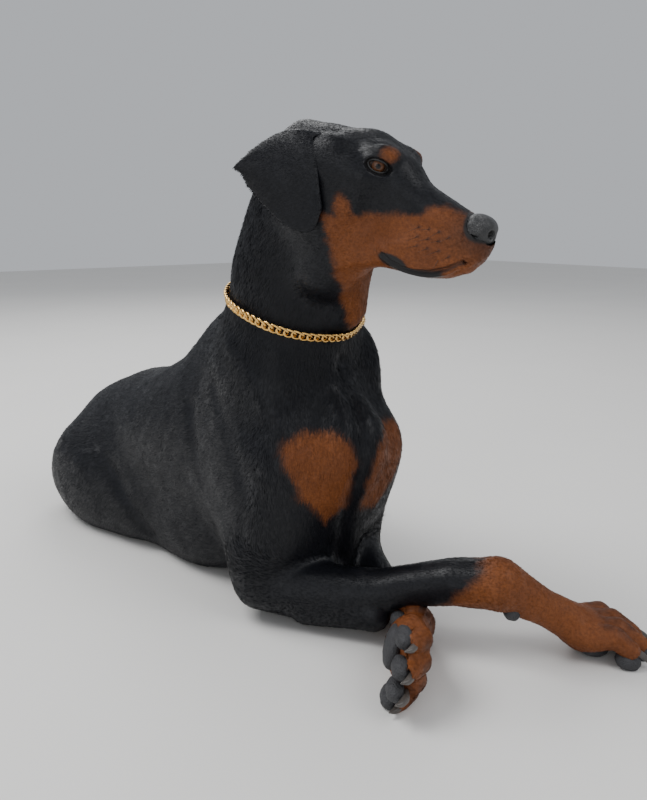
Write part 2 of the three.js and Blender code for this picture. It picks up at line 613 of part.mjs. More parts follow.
// Chain collar: fused curb links round the base of the neck.
const RING = { at: [92, -28, 328], yaw: 0, pitch: 18, roll: -3 };
function neckRadius(turn, height) {
  let r = 130;
  const at = () => fromPlace([r * Math.cos(turn), r * Math.sin(turn), height], RING);
  while (r > 20 && body(...at()) > 0) r -= 0.5;
  return r;
}
const ringLine = new THREE.CatmullRomCurve3(Array.from({ length: 48 }, (_, i) => {
  const turn = (2 * Math.PI * i) / 48;
  const r = Math.max(...[-7, -3.5, 0, 3.5].map((h) => neckRadius(turn, h))) + CHAIN.wire + CHAIN.clearance;
  return new THREE.Vector3(r * Math.cos(turn), r * Math.sin(turn), 0);
}), true);
let chain = null;
for (let n = 0; n < CHAIN.links; n++) {
  const middle = ringLine.getPointAt(n / CHAIN.links);
  const along = ringLine.getTangentAt(n / CHAIN.links);
  const up = new THREE.Vector3(0, 0, 1);
  const out = along.clone().cross(up);
  const tilt = rad(CHAIN.tilt);
  const wide = up.clone().multiplyScalar(Math.cos(tilt)).addScaledVector(out, Math.sin(tilt));
  const length = along.clone().multiplyScalar(CHAIN.length / 2);
  const rings = Array.from({ length: 6 }, (_, i) => {
    const a = (2 * Math.PI * i) / 6;
    const centre = middle.clone().addScaledVector(length, Math.cos(a))
      .addScaledVector(wide, (CHAIN.width / 2 - CHAIN.wire) * Math.sin(a));
    const away = length.clone().multiplyScalar(Math.cos(a) * 0.2);
    away.addScaledVector(wide, Math.sin(a)).normalize();
    const flat = wide.clone().cross(along).normalize();
    return Array.from({ length: 4 }, (_, k) => {
      const b = (Math.PI * (2 * k + 1)) / 4;
      return fromPlace(centre.clone().addScaledVector(away, CHAIN.wire * Math.cos(b))
        .addScaledVector(flat, CHAIN.wire * Math.sin(b)).toArray(), RING);
    });
  });
  const faces = [];
  for (let i = 0; i < 6; i++)
    for (let k = 0; k < 4; k++) {
      const [p, q] = [i * 4 + k, i * 4 + ((k + 1) % 4)];
      const [s, t] = [((i + 1) % 6) * 4 + ((k + 1) % 4), ((i + 1) % 6) * 4 + k];
      faces.push(p, q, s, p, s, t);
    }
  let link = solid(rings.flat(), faces);
  if (link.volume() < 0) link = solid(rings.flat(), faces.reverse());
  chain = chain ? chain.add(link) : link;
}
const under = ['neck', 'torso'].map((name) => nodes.get(name).body);
put('collar_chain', largest(clear(chain, ...under)), GOLD, 0.25, 1);

// The group, with its origin under the middle of the whole.
const dog = new THREE.Group();
for (const [name, { body: made, color, roughness, metalness }] of nodes) {
  const { vertProperties, triVerts } = made.getMesh();
  const geometry = new THREE.BufferGeometry();
  geometry.setAttribute('position', new THREE.BufferAttribute(vertProperties, 3));
  geometry.setIndex(new THREE.BufferAttribute(triVerts, 1));
  const mesh = new THREE.Mesh(geometry, new THREE.MeshStandardMaterial({ color, roughness, metalness }));
  mesh.name = name;
  dog.add(mesh);
}
const box = new THREE.Box3().setFromObject(dog);
dog.position.set(-(box.min.x + box.max.x) / 2, -(box.min.y + box.max.y) / 2, -box.min.z);

export default dog;
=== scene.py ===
"""A life-size Doberman pinscher lying with crossed forelegs, with its coat, face, feet and chain collar."""

import json
import math

import bmesh
import bpy
import numpy as np
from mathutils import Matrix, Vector

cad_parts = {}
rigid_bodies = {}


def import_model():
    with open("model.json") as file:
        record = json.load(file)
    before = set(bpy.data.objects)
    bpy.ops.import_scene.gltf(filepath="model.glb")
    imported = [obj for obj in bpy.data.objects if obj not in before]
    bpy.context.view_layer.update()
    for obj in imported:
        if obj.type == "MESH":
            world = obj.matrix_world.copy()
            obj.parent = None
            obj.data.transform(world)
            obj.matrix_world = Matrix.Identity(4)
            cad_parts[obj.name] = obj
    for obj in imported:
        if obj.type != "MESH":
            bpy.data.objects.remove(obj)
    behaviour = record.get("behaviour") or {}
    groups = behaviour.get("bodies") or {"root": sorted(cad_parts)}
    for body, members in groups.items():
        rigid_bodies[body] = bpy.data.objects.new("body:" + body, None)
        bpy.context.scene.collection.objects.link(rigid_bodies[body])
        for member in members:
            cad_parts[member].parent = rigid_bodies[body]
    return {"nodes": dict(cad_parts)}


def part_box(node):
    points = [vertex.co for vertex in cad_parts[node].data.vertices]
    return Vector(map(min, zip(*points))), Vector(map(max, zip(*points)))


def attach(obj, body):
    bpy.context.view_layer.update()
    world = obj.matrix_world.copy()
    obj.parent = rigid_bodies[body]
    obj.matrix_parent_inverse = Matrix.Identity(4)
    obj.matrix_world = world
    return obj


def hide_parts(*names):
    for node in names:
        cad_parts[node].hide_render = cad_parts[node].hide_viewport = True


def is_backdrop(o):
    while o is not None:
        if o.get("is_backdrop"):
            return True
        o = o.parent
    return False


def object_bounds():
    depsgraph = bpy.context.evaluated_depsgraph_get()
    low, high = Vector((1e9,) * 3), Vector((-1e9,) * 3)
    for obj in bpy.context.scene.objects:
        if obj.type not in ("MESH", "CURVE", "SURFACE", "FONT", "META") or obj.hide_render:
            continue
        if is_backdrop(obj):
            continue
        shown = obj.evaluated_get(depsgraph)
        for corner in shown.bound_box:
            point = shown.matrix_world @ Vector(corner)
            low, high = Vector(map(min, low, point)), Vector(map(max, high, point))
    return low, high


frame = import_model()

bl_info = {
    "name": "Resting Doberman",
    "version": (1, 0, 0),
    "blender": (4, 5, 0),
    "location": "View3D > Sidebar > Dog",
    "description": "A life-size black and tan dog, lying with crossed forelegs and a chain collar",
    "category": "Object",
}

MM = 0.001
SIDES = {"left": 1, "right": -1}

# The dog's own frame is in millimetres: +X from tail to chest, +Y to its left, +Z up.
HEAD = {"at": (239, -23, 487), "yaw": 19, "pitch": 21, "roll": 0}
EYE = {"at": (1, 24.5, 0), "radius": 11.5, "gaze": (0.56, 0.82, 0.04)}
SLIT = {"half_wide": 9.6, "half_tall": 5.6, "slant": 0.05, "lid_reach": 12.1, "sunk_reach": 9.8}
NOSE = {"at": (109, 0, -24), "size": (15.5, 17.5, 15)}
RING = {"at": (92, -28, 328), "yaw": 0, "pitch": 18, "roll": -3}
# A link of the curb chain: its half length is a share of the space that it takes up along the ring.
CURB = {
    "half_long": 0.74, "half_wide": 6.2, "lean": 24, "twist": 0.9, "clearance": 1.6,
    "rounds": 20, "around": 8,
}
ELBOW = {"right": (82, -66, 42), "left": (62, 78, 42)}
CARPUS = {"right": (298, 70, 76), "left": (227, 29, 20)}
STIFLE = {"right": (-165, 20, 46), "left": (-212, 128, 104)}
HOCK = {"right": (-138, 138, 30), "left": (-322, 236, 38)}
PAWS = {
    "front_right": {"at": (344, 156, 18), "yaw": 49, "pitch": 6, "roll": 0, "wrist": 24},
    "front_left": {"at": (268, -32, 33), "yaw": -40, "pitch": 2, "roll": -104, "wrist": 18},
    "hind_right": {"at": (-92, 182, 17), "yaw": 28, "pitch": 0, "roll": 0, "wrist": 19},
    "hind_left": {"at": (-232, 298, 17), "yaw": 12, "pitch": 0, "roll": 0, "wrist": 19},
}
TOES = (
    {"y": -22, "reach": 38, "splay": -6, "bend": 0},
    {"y": -8, "reach": 54, "splay": -2, "bend": 2},
    {"y": 8, "reach": 54, "splay": 2, "bend": 2},
    {"y": 22, "reach": 38, "splay": 6, "bend": 0},
)
TAIL = (
    (-400, -24, 92, 24), (-432, 4, 58, 18), (-452, 50, 28, 14),
    (-446, 110, 16, 12), (-420, 168, 12, 10), (-378, 214, 9, 7),
)
MOUTH = ((117, -43), (110, -55), (100, -65), (87, -73.5), (72, -79), (58, -81.5), (46, -80), (36, -76))
EAR = (
    ((-44, 32, 12), (-60, 34, 13), (-78, 34, 7), (-92, 34, -5), (-97, 36, -21)),
    ((-62, 47, 7), (-82, 53, 4), (-98, 58, -4), (-110, 68, -21), (-118, 80, -43)),
    ((-46, 55, -12), (-56, 60, -24), (-74, 65, -32), (-92, 70, -42), (-111, 78, -50)),
    ((-24, 56, -54), (-28, 55, -78), (-50, 58, -84), (-78, 63, -75), (-105, 71, -60)),
)
EAR_STEPS = 40
EAR_GRID = (26, 30)


def rotation(turn):
    """The matrix that turns about X, then Y, then Z, by angles in degrees."""
    a, b, c = np.radians(turn)
    rx = np.array([[1, 0, 0], [0, math.cos(a), -math.sin(a)], [0, math.sin(a), math.cos(a)]])
    ry = np.array([[math.cos(b), 0, math.sin(b)], [0, 1, 0], [-math.sin(b), 0, math.cos(b)]])
    rz = np.array([[math.cos(c), -math.sin(c), 0], [math.sin(c), math.cos(c), 0], [0, 0, 1]])
    return rz @ ry @ rx


def to_place(points, place):
    """Points of the dog's frame in the frame of a place."""
    turn = rotation((place["roll"], place["pitch"], place["yaw"]))
    return (np.asarray(points, float) - place["at"]) @ turn


def from_place(points, place):
    """Points of a place's frame in the dog's frame."""
    turn = rotation((place["roll"], place["pitch"], place["yaw"]))
    return np.asarray(points, float) @ turn.T + place["at"]


def frame_offset():
    """Where the dog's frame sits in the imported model, in metres, read from the right eye."""
    low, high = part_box("eye_right")
    eye = from_place([EYE["at"][0], -EYE["at"][1], EYE["at"][2]], HEAD)
    return (np.array(low) + np.array(high)) / 2 - eye * MM


OFFSET = frame_offset()


def to_metres(points):
    """Points of the dog's frame in the model's frame."""
    return np.asarray(points, float) * MM + OFFSET


def to_dog(points):
    """Points of the model's frame in the dog's frame, in millimetres."""
    return (np.asarray(points, float) - OFFSET) / MM


# Distance fields, negative inside. Each takes an array of points and returns an array.
def blend(a, b, k):
    """The union of two fields, softened over a width."""
    h = np.maximum(k - np.abs(a - b), 0)
    return np.minimum(a, b) - (h * h / (4 * k) if k > 0 else 0)


def egg(at, size, turn=(0, 0, 0)):
    """An ellipsoid."""
    spin = rotation(turn)
    size = np.array(size, float)

    def field(p):
        q = ((p - at) @ spin) / size
        k0 = np.sqrt((q * q).sum(1))
        k1 = np.sqrt(((q / size) ** 2).sum(1))
        return np.where(k1 < 1e-9, -size.min(), k0 * (k0 - 1) / np.maximum(k1, 1e-9))

    return field


def limb(*chains):
    """Chains of round cones through stations of x, y, z and radius."""
    cones = [(np.array(a, float), np.array(b, float)) for c in chains for a, b in zip(c, c[1:])]

    def field(p):
        best = np.full(len(p), np.inf)
        for a, b in cones:
            u = b[:3] - a[:3]
            t = np.clip(((p - a[:3]) @ u) / (u @ u), 0, 1)
            d = np.sqrt(((p - a[:3] - t[:, None] * u) ** 2).sum(1)) - a[3] - t * (b[3] - a[3])
            best = np.minimum(best, d)
        return best

    return field


def stroke(points):
    """Distance from an open line of points."""
    return limb([(*p, 0) for p in points])


def spline(points, steps):
    """Places and directions at even steps of a Catmull-Rom line."""
    p = np.asarray(points, float)
    ends = np.vstack([2 * p[0] - p[1], p, 2 * p[-1] - p[-2]])
    t = np.linspace(0, len(p) - 1, steps + 1)
    i = np.minimum(t.astype(int), len(p) - 2)
    w = (t - i)[:, None]
    b, c = ends[i + 1], ends[i + 2]
    m, n = (c - ends[i]) / 2, (ends[i + 3] - b) / 2
    place = (2 * w**3 - 3 * w**2 + 1) * b + (w**3 - 2 * w**2 + w) * m
    place += (3 * w**2 - 2 * w**3) * c + (w**3 - w**2) * n
    along = (6 * w**2 - 6 * w) * (b - c) + (3 * w**2 - 4 * w + 1) * m + (3 * w**2 - 2 * w) * n
    return place, unit(along)


def unit(v):
    return v / np.maximum(np.linalg.norm(v, axis=-1, keepdims=True), 1e-9)


def barrel(stations, steps=36, power=2):
    """A smooth tube through stations of x, y, z, half width, height above and height below."""
    s = np.array(stations, float)
    at, along = spline(s[:, :3], steps)
    size, _ = spline(s[:, 3:], steps)
    wide = unit(np.array([0, 1, 0]) - along * along[:, 1:2])
    up = np.cross(along, wide)

    def field(p):
        near = (-2 * p @ at.T + (at * at).sum(1)).argmin(1)
        past = ((p - at[near]) * along[near]).sum(1)
        beside = np.clip(near + np.sign(past).astype(int), 0, steps)
        span = np.linalg.norm(at[beside] - at[near], axis=1)
        t = np.where(span > 0, np.minimum(np.abs(past) / np.maximum(span, 1e-9), 1), 0)[:, None]
        q = p - at[near] * (1 - t) - at[beside] * t

        def part(axes):
            return (q * (axes[near] * (1 - t) + axes[beside] * t)).sum(1)

        w, u, l = part(wide), part(up), part(along)
        local = size[near] * (1 - t) + size[beside] * t
        tall = np.where(u > 0, local[:, 1], local[:, 2])
        small = np.minimum(local[:, 0], tall)
        k = (np.abs(w / local[:, 0]) ** power + np.abs(u / tall) ** power) ** (1 / power)
        return (np.hypot(k, l / small) - 1) * small

    return field


def flesh(forms):
    """Joins pairs of a field and the width of its blend."""

    def field(p):
        d = np.full(len(p), np.inf)
        for form, k in forms:
            d = blend(d, form(p), k) if np.isfinite(d).all() else form(p)
        return d

    return field


def placed(field, place):
    return lambda p: field(to_place(p, place))


def both(make):
    return [make(s) for s in (1, -1)]


TRUNK = flesh([
    (barrel([
        (150, 0, 200, 34, 34, 46), (112, 0, 190, 58, 78, 96), (50, -2, 178, 84, 132, 157),
        (-30, -6, 168, 99, 154, 147), (-105, -12, 152, 101, 124, 114), (-180, -20, 134, 97, 94, 97),
        (-250, -28, 114, 90, 74, 102), (-320, -36, 102, 85, 68, 90), (-372, -40, 90, 70, 56, 80),
        (-398, -42, 80, 50, 42, 66),
    ]), 0),
    (egg((146, 0, 168), (34, 40, 52), (0, 20, 0)), 36),
    *both(lambda s: (egg((112, s * 36, 150), (46, 38, 62), (0, 14, 0)), 22)),
    (egg((90, 0, 80), (50, 50, 84)), 40),
    (egg((-120, -44, 48), (120, 56, 60)), 40),
])
HAUNCHES = flesh([
    (egg((-300, -108, 68), (84, 50, 72), (0, 0, 14)), 0),
    (egg((-222, -98, 56), (88, 40, 58), (0, 0, 12)), 40),
    (egg((-372, -96, 60), (40, 42, 54)), 30),
    (egg((-330, 30, 104), (84, 62, 68), (0, 0, -14)), 40),
    (limb([(-330, 52, 108, 58), (*STIFLE["left"], 38)]), 40),
])


def shoulder(s, elbow):
    x, y, z = elbow
    return flesh([
        (limb([(118, s * 58, 176, 38), (x + 6, y, z + 18, 32)]), 0),
        (egg((58, s * 66, 218), (58, 30, 92), (0, 24, 0)), 40),
        (egg((x - 24, s * 72, 128), (52, 30, 78), (0, -8, 0)), 34),
        (limb([(x - 24, y, z + 4, 22), (x - 6, y, z + 26, 29)]), 24),
    ])


NECK = flesh([
    (barrel([
        (46, -10, 285, 72, 74, 86), (66, -16, 325, 72, 74, 80), (88, -27, 378, 69, 73, 73),
        (113, -36, 425, 61, 66, 66), (136, -44, 465, 54, 60, 60),
    ]), 0),
    (egg((-20, -8, 258), (62, 38, 52), (0, 24, 0)), 40),
    (limb([(176, -20, 392, 26), (152, -6, 344, 23)]), 30),
])
MUZZLE = barrel([
    (-6, 0, -16, 32, 26, 40), (40, 0, -26, 26, 26, 46), (80, 0, -32, 24, 24, 41), (108, 0, -33, 19, 19, 28),
], 24, 2.4)
SKULL = flesh([
    (egg((-56, 0, -11), (64, 44, 30)), 0),
    (egg((-46, 0, 3), (54, 32, 16)), 18),
    (egg((-106, 0, -9), (18, 18, 20)), 22),
    (limb([(-18, 0, 2, 28), (8, 0, -6, 27)]), 20),
    (MUZZLE, 22),
    *both(lambda s: (egg((3, s * 23, 13), (17, 13, 10), (0, 0, s * 14)), 12)),
    *both(lambda s: (limb([(-4, s * 35, -15, 9), (-62, s * 45, -12, 10)]), 22)),
    *both(lambda s: (egg((-44, s * 32, -42), (40, 18, 38)), 26)),
    *both(lambda s: (egg((60, s * 14, -64), (42, 12, 20)), 14)),
    (limb([(-50, 0, -62, 30), (14, 0, -76, 23), (60, 0, -71, 15), (92, 0, -64, 12.5), (106, 0, -58, 9)]), 12),
    *both(lambda s: (egg((-46, s * 36, 2), (18, 11, 12)), 10)),
    (limb([(-40, 0, -80, 32), (-32, 0, -122, 26)]), 44),
    *both(lambda s: (egg(EYE["at"] * np.array((1, s, 1)), (13.6,) * 3), 7)),
])
FOREARM = {
    "right": limb([
        (*ELBOW["right"], 34), (120, -42, 38, 32), (160, -17, 38, 29), (195, 5, 49, 22), (225, 24, 60, 21),
        (262, 47, 71, 23), (*CARPUS["right"], 25),
    ], [(130, -38, 30, 28), (196, -4, 28, 18)]),
    "left": limb([
        (*ELBOW["left"], 32), (110, 61, 30, 25), (160, 45, 22, 20), (202, 36, 19, 17.5),
        (*CARPUS["left"], 18),
    ]),
}


def shank(side, share, radii):
    a, b = np.array(STIFLE[side], float), np.array(HOCK[side], float)
    return limb([(*a, radii[0]), (*(a + (b - a) * share), radii[1]), (*b, radii[2])])


SHANK = {"right": shank("right", 0.5, (34, 26, 19)), "left": shank("left", 0.4, (29, 30, 20))}


def paw_form(wrist, thick):
    """A paw in its own frame: knuckles over the origin, toes along +X, sole towards -Z."""
    middle = np.array(wrist) + (np.array((-10, 0, 6)) - wrist) * 0.55
    forms = [
        (limb([(*wrist, thick), (*middle, 18), (-10, 0, 5, 21)]), 0),
        (egg((-4, 0, 3), (24, 30, 14)), 14),
    ]
    for t in TOES:
        forms.append((limb([
            (-6, t["y"] * 0.8, 6, 13),
            (t["reach"] * 0.45, t["y"] + t["splay"] * 0.4, 10 + t["bend"], 11.5),
            (t["reach"] * 0.82, t["y"] + t["splay"] * 0.8, 1, 10.5),
            (t["reach"], t["y"] + t["splay"], -5, 9),
        ]), 4))
    return flesh(forms)


def wrist_of(name):
    """The wrist or hock over a paw."""
    end, side = name.split("_")
    return (CARPUS if end == "front" else HOCK)[side]


def placed_paw(name):
    place = PAWS[name]
    return placed(paw_form(to_place(wrist_of(name), place), place["wrist"]), place)


FORE_RIGHT = flesh([(FOREARM["right"], 0), (placed_paw("front_right"), 6)])
FORE_LEFT = flesh([(FOREARM["left"], 0), (placed_paw("front_left"), 5)])
HIND_RIGHT = flesh([(SHANK["right"], 0), (placed_paw("hind_right"), 6)])
HIND_LEFT = flesh([(SHANK["left"], 0), (placed_paw("hind_left"), 6)])
LEGS = {"front_right": FORE_RIGHT, "front_left": FORE_LEFT, "hind_right": HIND_RIGHT, "hind_left": HIND_LEFT}
HEAD_FIELD = placed(SKULL, HEAD)
TAIL_FIELD = limb(TAIL)
BODY = flesh([
    (TRUNK, 0), (HAUNCHES, 40), (shoulder(-1, ELBOW["right"]), 34), (shoulder(1, ELBOW["left"]), 34),
    (NECK, 50), (HEAD_FIELD, 22),
])
WHOLE = flesh([
    (BODY, 0), (TAIL_FIELD, 16), (FORE_LEFT, 14), (FORE_RIGHT, 8), (HIND_RIGHT, 16), (HIND_LEFT, 18),
])


def gaze_frame(s):
    """Across, up and out of an eye's opening, in the head's frame."""
    out = unit(np.array([EYE["gaze"][0], s * EYE["gaze"][1], EYE["gaze"][2]]))
    across = unit(np.cross((0, 0, 1), out))
    across = across * (1 if across[0] > 0 else -1)
    up = np.cross(out, across)
    return across, up * (1 if up[2] > 0 else -1), out


def eye_centre(s):
    return EYE["at"] * np.array((1, s, 1))


def seen_from_front(q, s):
    """Across, up and out from an eye's centre, and the distance from its axis as a share of its opening."""
    across, up, out = gaze_frame(s)
    d = q - eye_centre(s)
    h, v, o = d @ across, d @ up, d @ out
    return h, v, o, np.hypot(h / SLIT["half_wide"], (v + SLIT["slant"] * h) / SLIT["half_tall"])


def opening(q, s):
    """How far a point of the head's frame is outside the shaft of an eye's opening."""
    _, _, out, share = seen_from_front(q, s)
    return np.maximum((share - 1) * SLIT["half_tall"], -out)


def skin_field(p, depth):
    """The dog's whole surface, drawn in by the depth of its coat."""
    return np.maximum(WHOLE(p) + depth, -p[:, 2])


def open_eyes(p):
    """Sinks the skin behind the front of each eyeball, and brings it to the lids round it."""
    q = to_place(p, HEAD)
    for s in (1, -1):
        h, v, o, reach = seen_from_front(q, s)
        reach = np.maximum(reach, 0.02)
        behind = np.sqrt(np.maximum(SLIT["sunk_reach"]**2 - h**2 - v**2, 1))
        rim = np.sqrt(np.maximum(SLIT["lid_reach"]**2 - (h**2 + v**2) / reach**2, 1)) - 0.2
        target = np.where(reach < 1, behind, rim)
        near = np.linalg.norm(q - eye_centre(s), axis=1) < 30
        share = smooth(-reach, -1.6, -1.05) * (o > 2) * near
        q = q + gaze_frame(s)[2] * ((target - o) * share)[:, None]
    return from_place(q, HEAD)


def slope_of(field, p, step=0.35):
    """The field and its slope at each point."""
    corners = np.array([(1, 1, 1), (1, -1, -1), (-1, 1, -1), (-1, -1, 1)], float)
    values = [field(p + corner * step) for corner in corners]
    slope = sum(v[:, None] * c for v, c in zip(values, corners)) / (4 * step)
    return sum(values) / 4, slope


def settle(points, field, steps, reach):
    """Moves points onto a field's surface along its slope."""
    p = points.copy()
    for _ in range(steps):
        d, slope = slope_of(field, p)
        steep = np.maximum((slope**2).sum(1), 0.3)
        move = np.clip(d / steep, -reach, reach)
        p -= move[:, None] * slope
    return p


def waves(p, size, seed, count=7):
    """A smooth, seeded unevenness from -1 to 1, with bumps of about that size."""
    rng = np.random.default_rng(seed)
    ways = unit(rng.normal(size=(count, 3))) * rng.uniform(0.7, 1.5, (count, 1)) * 2 * math.pi / size
    return np.sin(p @ ways.T + rng.uniform(0, 6.28, count)).sum(1) / count * 1.6


def smooth(x, low, high):
    """A soft step from 0 at low to 1 at high."""
    t = np.clip((x - low) / (high - low), 0, 1)
    return t * t * (3 - 2 * t)


def within(outline, x, y):
    """How far points are inside a flat outline; negative outside."""
    ring = np.array(outline, float)
    away = np.full(len(x), np.inf)
    inside = np.zeros(len(x), bool)
    for (ax, ay), (bx, by) in zip(ring, np.roll(ring, -1, 0)):
        t = np.clip(((x - ax) * (bx - ax) + (y - ay) * (by - ay)) / ((bx - ax) ** 2 + (by - ay) ** 2), 0, 1)
        away = np.minimum(away, np.hypot(x - ax - t * (bx - ax), y - ay - t * (by - ay)))
        if ay != by:
            crosses = (ay > y) != (by > y)
            inside ^= crosses & (x < (bx - ax) * (y - ay) / (by - ay) + ax)
    return np.where(inside, away, -away)


# Outlines of the tan markings: the face from the side, and the breast from the front.
FACE_TAN = (
    (128, -24), (112, -16), (94, -15), (81, -14), (70, -15), (62, -20), (57, -33), (43, -40), (27, -41),
    (8, -45), (0, -52), (-6, -42), (-13, -33), (-18, -40), (-15, -57), (-12, -73), (-19, -86), (-13, -97),
    (-8, -118), (20, -130), (128, -100),
)
BREAST_TAN = (
    (
        (-79, 207), (-61, 214), (-29, 213), (-18, 197), (-13, 164), (-8, 131), (-35, 119), (-69, 153),
        (-82, 184),
    ),
    ((6, 196), (22, 208), (48, 212), (76, 205), (84, 182), (66, 150), (40, 118), (12, 122), (4, 160)),
)

# The throat's tan lies in front of all of these planes: the three parts of a direction, and its offset.
THROAT_TAN = (
    (0.6157, 0.788, 0.254, -176.491), (0, 0, 0.6, -192), (0, -1, 0, 46), (1, 0, 0, -108), (0, 0, -1, 440),
)
# A spot over each eye, and how far the tan of each foot reaches above its wrist or hock.
BROW_SPOT = {"at": (14, 30, 15), "radius": 6.8}
TAN_ABOVE_WRIST = {"front_right": 34, "front_left": 38, "hind_right": 60, "hind_left": 60}


def markings(p):
    """How tan and how bare the coat is at each point, from 0 to 1."""
    m = mirrored(to_place(p, HEAD))
    x, side, z = m.T
    rough = waves(p, 9, 3) * 1.6 + waves(p, 26, 4) * 2.2
    on_head = (HEAD_FIELD(p) < 6) | ((z < -60) & (x > -30) & (np.linalg.norm(m, axis=1) < 150))
    face = within(FACE_TAN, x, z) + np.where(side < 9, -20 * (z > -30), 0)
    brow = BROW_SPOT["radius"] - np.linalg.norm((m - BROW_SPOT["at"]) * (0.95, 0.9, 1.05), axis=1)
    tan = np.where(on_head, np.maximum(face, brow), -30)
    tan = np.maximum(tan, np.min([p @ plane[:3] + plane[3] for plane in THROAT_TAN], axis=0))
    for outline in BREAST_TAN:
        tan = np.maximum(tan, np.where(p[:, 0] > 100, within(outline, p[:, 1], p[:, 2]), -30))
    for name, place in PAWS.items():
        toes = to_place(p, place)
        reach = np.array(place["at"], float) - wrist_of(name)
        past = (p - wrist_of(name)) @ unit(reach) + TAN_ABOVE_WRIST[name]
        past -= 0.25 * (p[:, 2] - 60) * name.startswith("front")
        own = np.minimum(past * 0.8, np.linalg.norm(reach) + 75 - np.linalg.norm(toes, axis=1) * 0.6)
        tan = np.maximum(tan, np.where(LEGS[name](p) < 5, own, -30))
    tan = np.maximum(tan, 26 - np.linalg.norm(p - (-404, -38, 58), axis=1))
    mask = smooth(tan + rough + waves(p, 4, 9) * 1.2, -4.2, 4.2)
    smudge = np.zeros(len(p))
    for name, place in PAWS.items():
        toes = to_place(p, place)
        for t in TOES:
            top = stroke([(8, t["y"], 20), (t["reach"] * 0.75, t["y"] + t["splay"] * 0.7, 16)])(toes)
            smudge = np.maximum(smudge, smooth(-top, -9, -3) * 0.55)
    mask *= 1 - smudge * (0.6 + 0.4 * waves(p, 7, 8))
    mask *= 1 - 0.55 * smooth(x, 72, 112) * smooth(z, -62, -30) * (side < 40) * on_head
    for spot_x, spot_z in WHISKERS:
        spot = np.hypot(x - spot_x, z - spot_z)
        mask *= 1 - 0.75 * np.exp(-((spot / 1.5) ** 2)) * (side > 8) * on_head
    dark = mouth_dark(m)
    return mask * (1 - dark), dark


def side_of_skull(x, z):
    """How far the skull reaches sideways at a place of its profile, or 0 where it doesn't."""
    y = np.arange(60, 0, -0.25)
    d = SKULL(np.stack([np.full_like(y, x), y, np.full_like(y, z)], 1))
    inside = np.nonzero(d <= 0)[0]
    return y[inside[0]] if len(inside) else 0


def mouth_line():
    """The line of the mouth in the head's frame, from the middle of the lip to its left corner."""
    return [(x, side_of_skull(x, z) if i else 0, z) for i, (x, z) in enumerate(MOUTH)]


LIPS = stroke(mouth_line())
LID_RIM = 3.2


def mirrored(q):
    """Points of the head's frame, with its right side laid on its left."""
    return np.stack([q[:, 0], np.abs(q[:, 1]), q[:, 2]], 1)


def mouth_dark(m):
    """Where the skin is bare and black: the lips, the rims of the eyes and round the nose."""
    x, side, z = m.T
    away = -LIPS(m)
    line = np.interp(x, *np.array(MOUTH[::-1], float).T)
    below = smooth(line - z, -0.5, 1.5) * smooth(away, -11, -7) * smooth(-x, -100, -92) * smooth(x, 34, 42)
    corner = smooth(1 - np.hypot((x - 48) / 19, (z + 80) / 8.5), 0, 0.3) * (side > 6)
    lips = np.max([smooth(away, -3.2, -1.5), below, corner], axis=0)
    lids = smooth(-opening(m, 1), -LID_RIM, -1.0) * (x > -16)
    around = smooth(-np.abs(egg(NOSE["at"], NOSE["size"])(m)), -3.5, -1.5)
    return np.clip(lips + lids + around, 0, 1)


# Folds and ridges on the body: a line, its half width and its height.
BODY_RELIEF = (
    (((137, 7, 280), (163, -1, 242), (186, -12, 207), (176, -12, 150), (140, 2, 60)), 10, -7.5),
    (((166, -2, 384), (150, -8, 354), (134, -4, 322)), 6, 3.2),
    (((158, -28, 380), (146, -34, 350), (128, -38, 316)), 5, 2.4),
    (((162, 12, 386), (148, 12, 352)), 5, -3.0),
    (((60, -88, 300), (98, -84, 262), (128, -78, 214), (128, -88, 168)), 10, 3.0),
    (((30, -100, 250), (70, -108, 200), (104, -104, 150), (96, -104, 98)), 9, -2.6),
    (((-20, -100, 214), (0, -108, 160), (30, -108, 100), (52, -100, 66)), 8, -4.0),
    (((-240, -120, 120), (-190, -126, 96), (-150, -118, 60), (-128, -100, 24)), 10, -4.5),
    (((-60, -60, 316), (-150, -72, 232), (-250, -70, 176), (-330, -60, 150)), 9, 2.2),
    (((-330, -86, 146), (-300, -120, 128), (-262, -140, 92)), 12, 2.4),
    (((172, -10, 66), (212, 14, 82), (252, 38, 92), (290, 62, 100)), 4.0, 1.6),
    (((176, -28, 42), (214, 2, 48), (256, 26, 58), (292, 50, 66)), 4.5, 1.8),
    (((176, -22, 56), (216, 8, 66), (258, 32, 76)), 4.0, -1.4),
    (((292, 64, 102), (318, 106, 78), (340, 140, 52)), 3.5, 1.4),
)
RIBS = tuple(
    ((x + 34, -86, 262 - 0.24 * (40 - x)), (x + 8, -108, 200 - 0.2 * (40 - x)), (x - 24, -108, 120)) for x in
    range(-150, 0, 30)
)
# Folds of the face, in the head's frame, the same on both sides.
FACE_RELIEF = (
    (((16, 26, -8), (30, 25, -20), (48, 25, -30)), 4.5, -1.6),
    (((-14, 38, 12), (0, 35, 20), (14, 28, 18)), 3.0, 1.3),
    (((-22, 38, 4), (-12, 36, 17), (4, 30, 25)), 3.0, -1.2),
    (((-26, 40, -60), (-6, 37, -66), (10, 30, -78)), 5.0, -1.8),
    (((66, 20, -54), (40, 27, -66), (18, 29, -74)), 5.0, 1.5),
    (((34, 25, -34), (60, 24, -38), (88, 21, -32)), 4.0, -0.9),
    (((20, 28, -70), (38, 26, -72), (52, 22, -70)), 5.5, 2.2),
    (((20, 18, -96), (-12, 20, -108), (-40, 20, -120)), 6.0, 2.0),
)


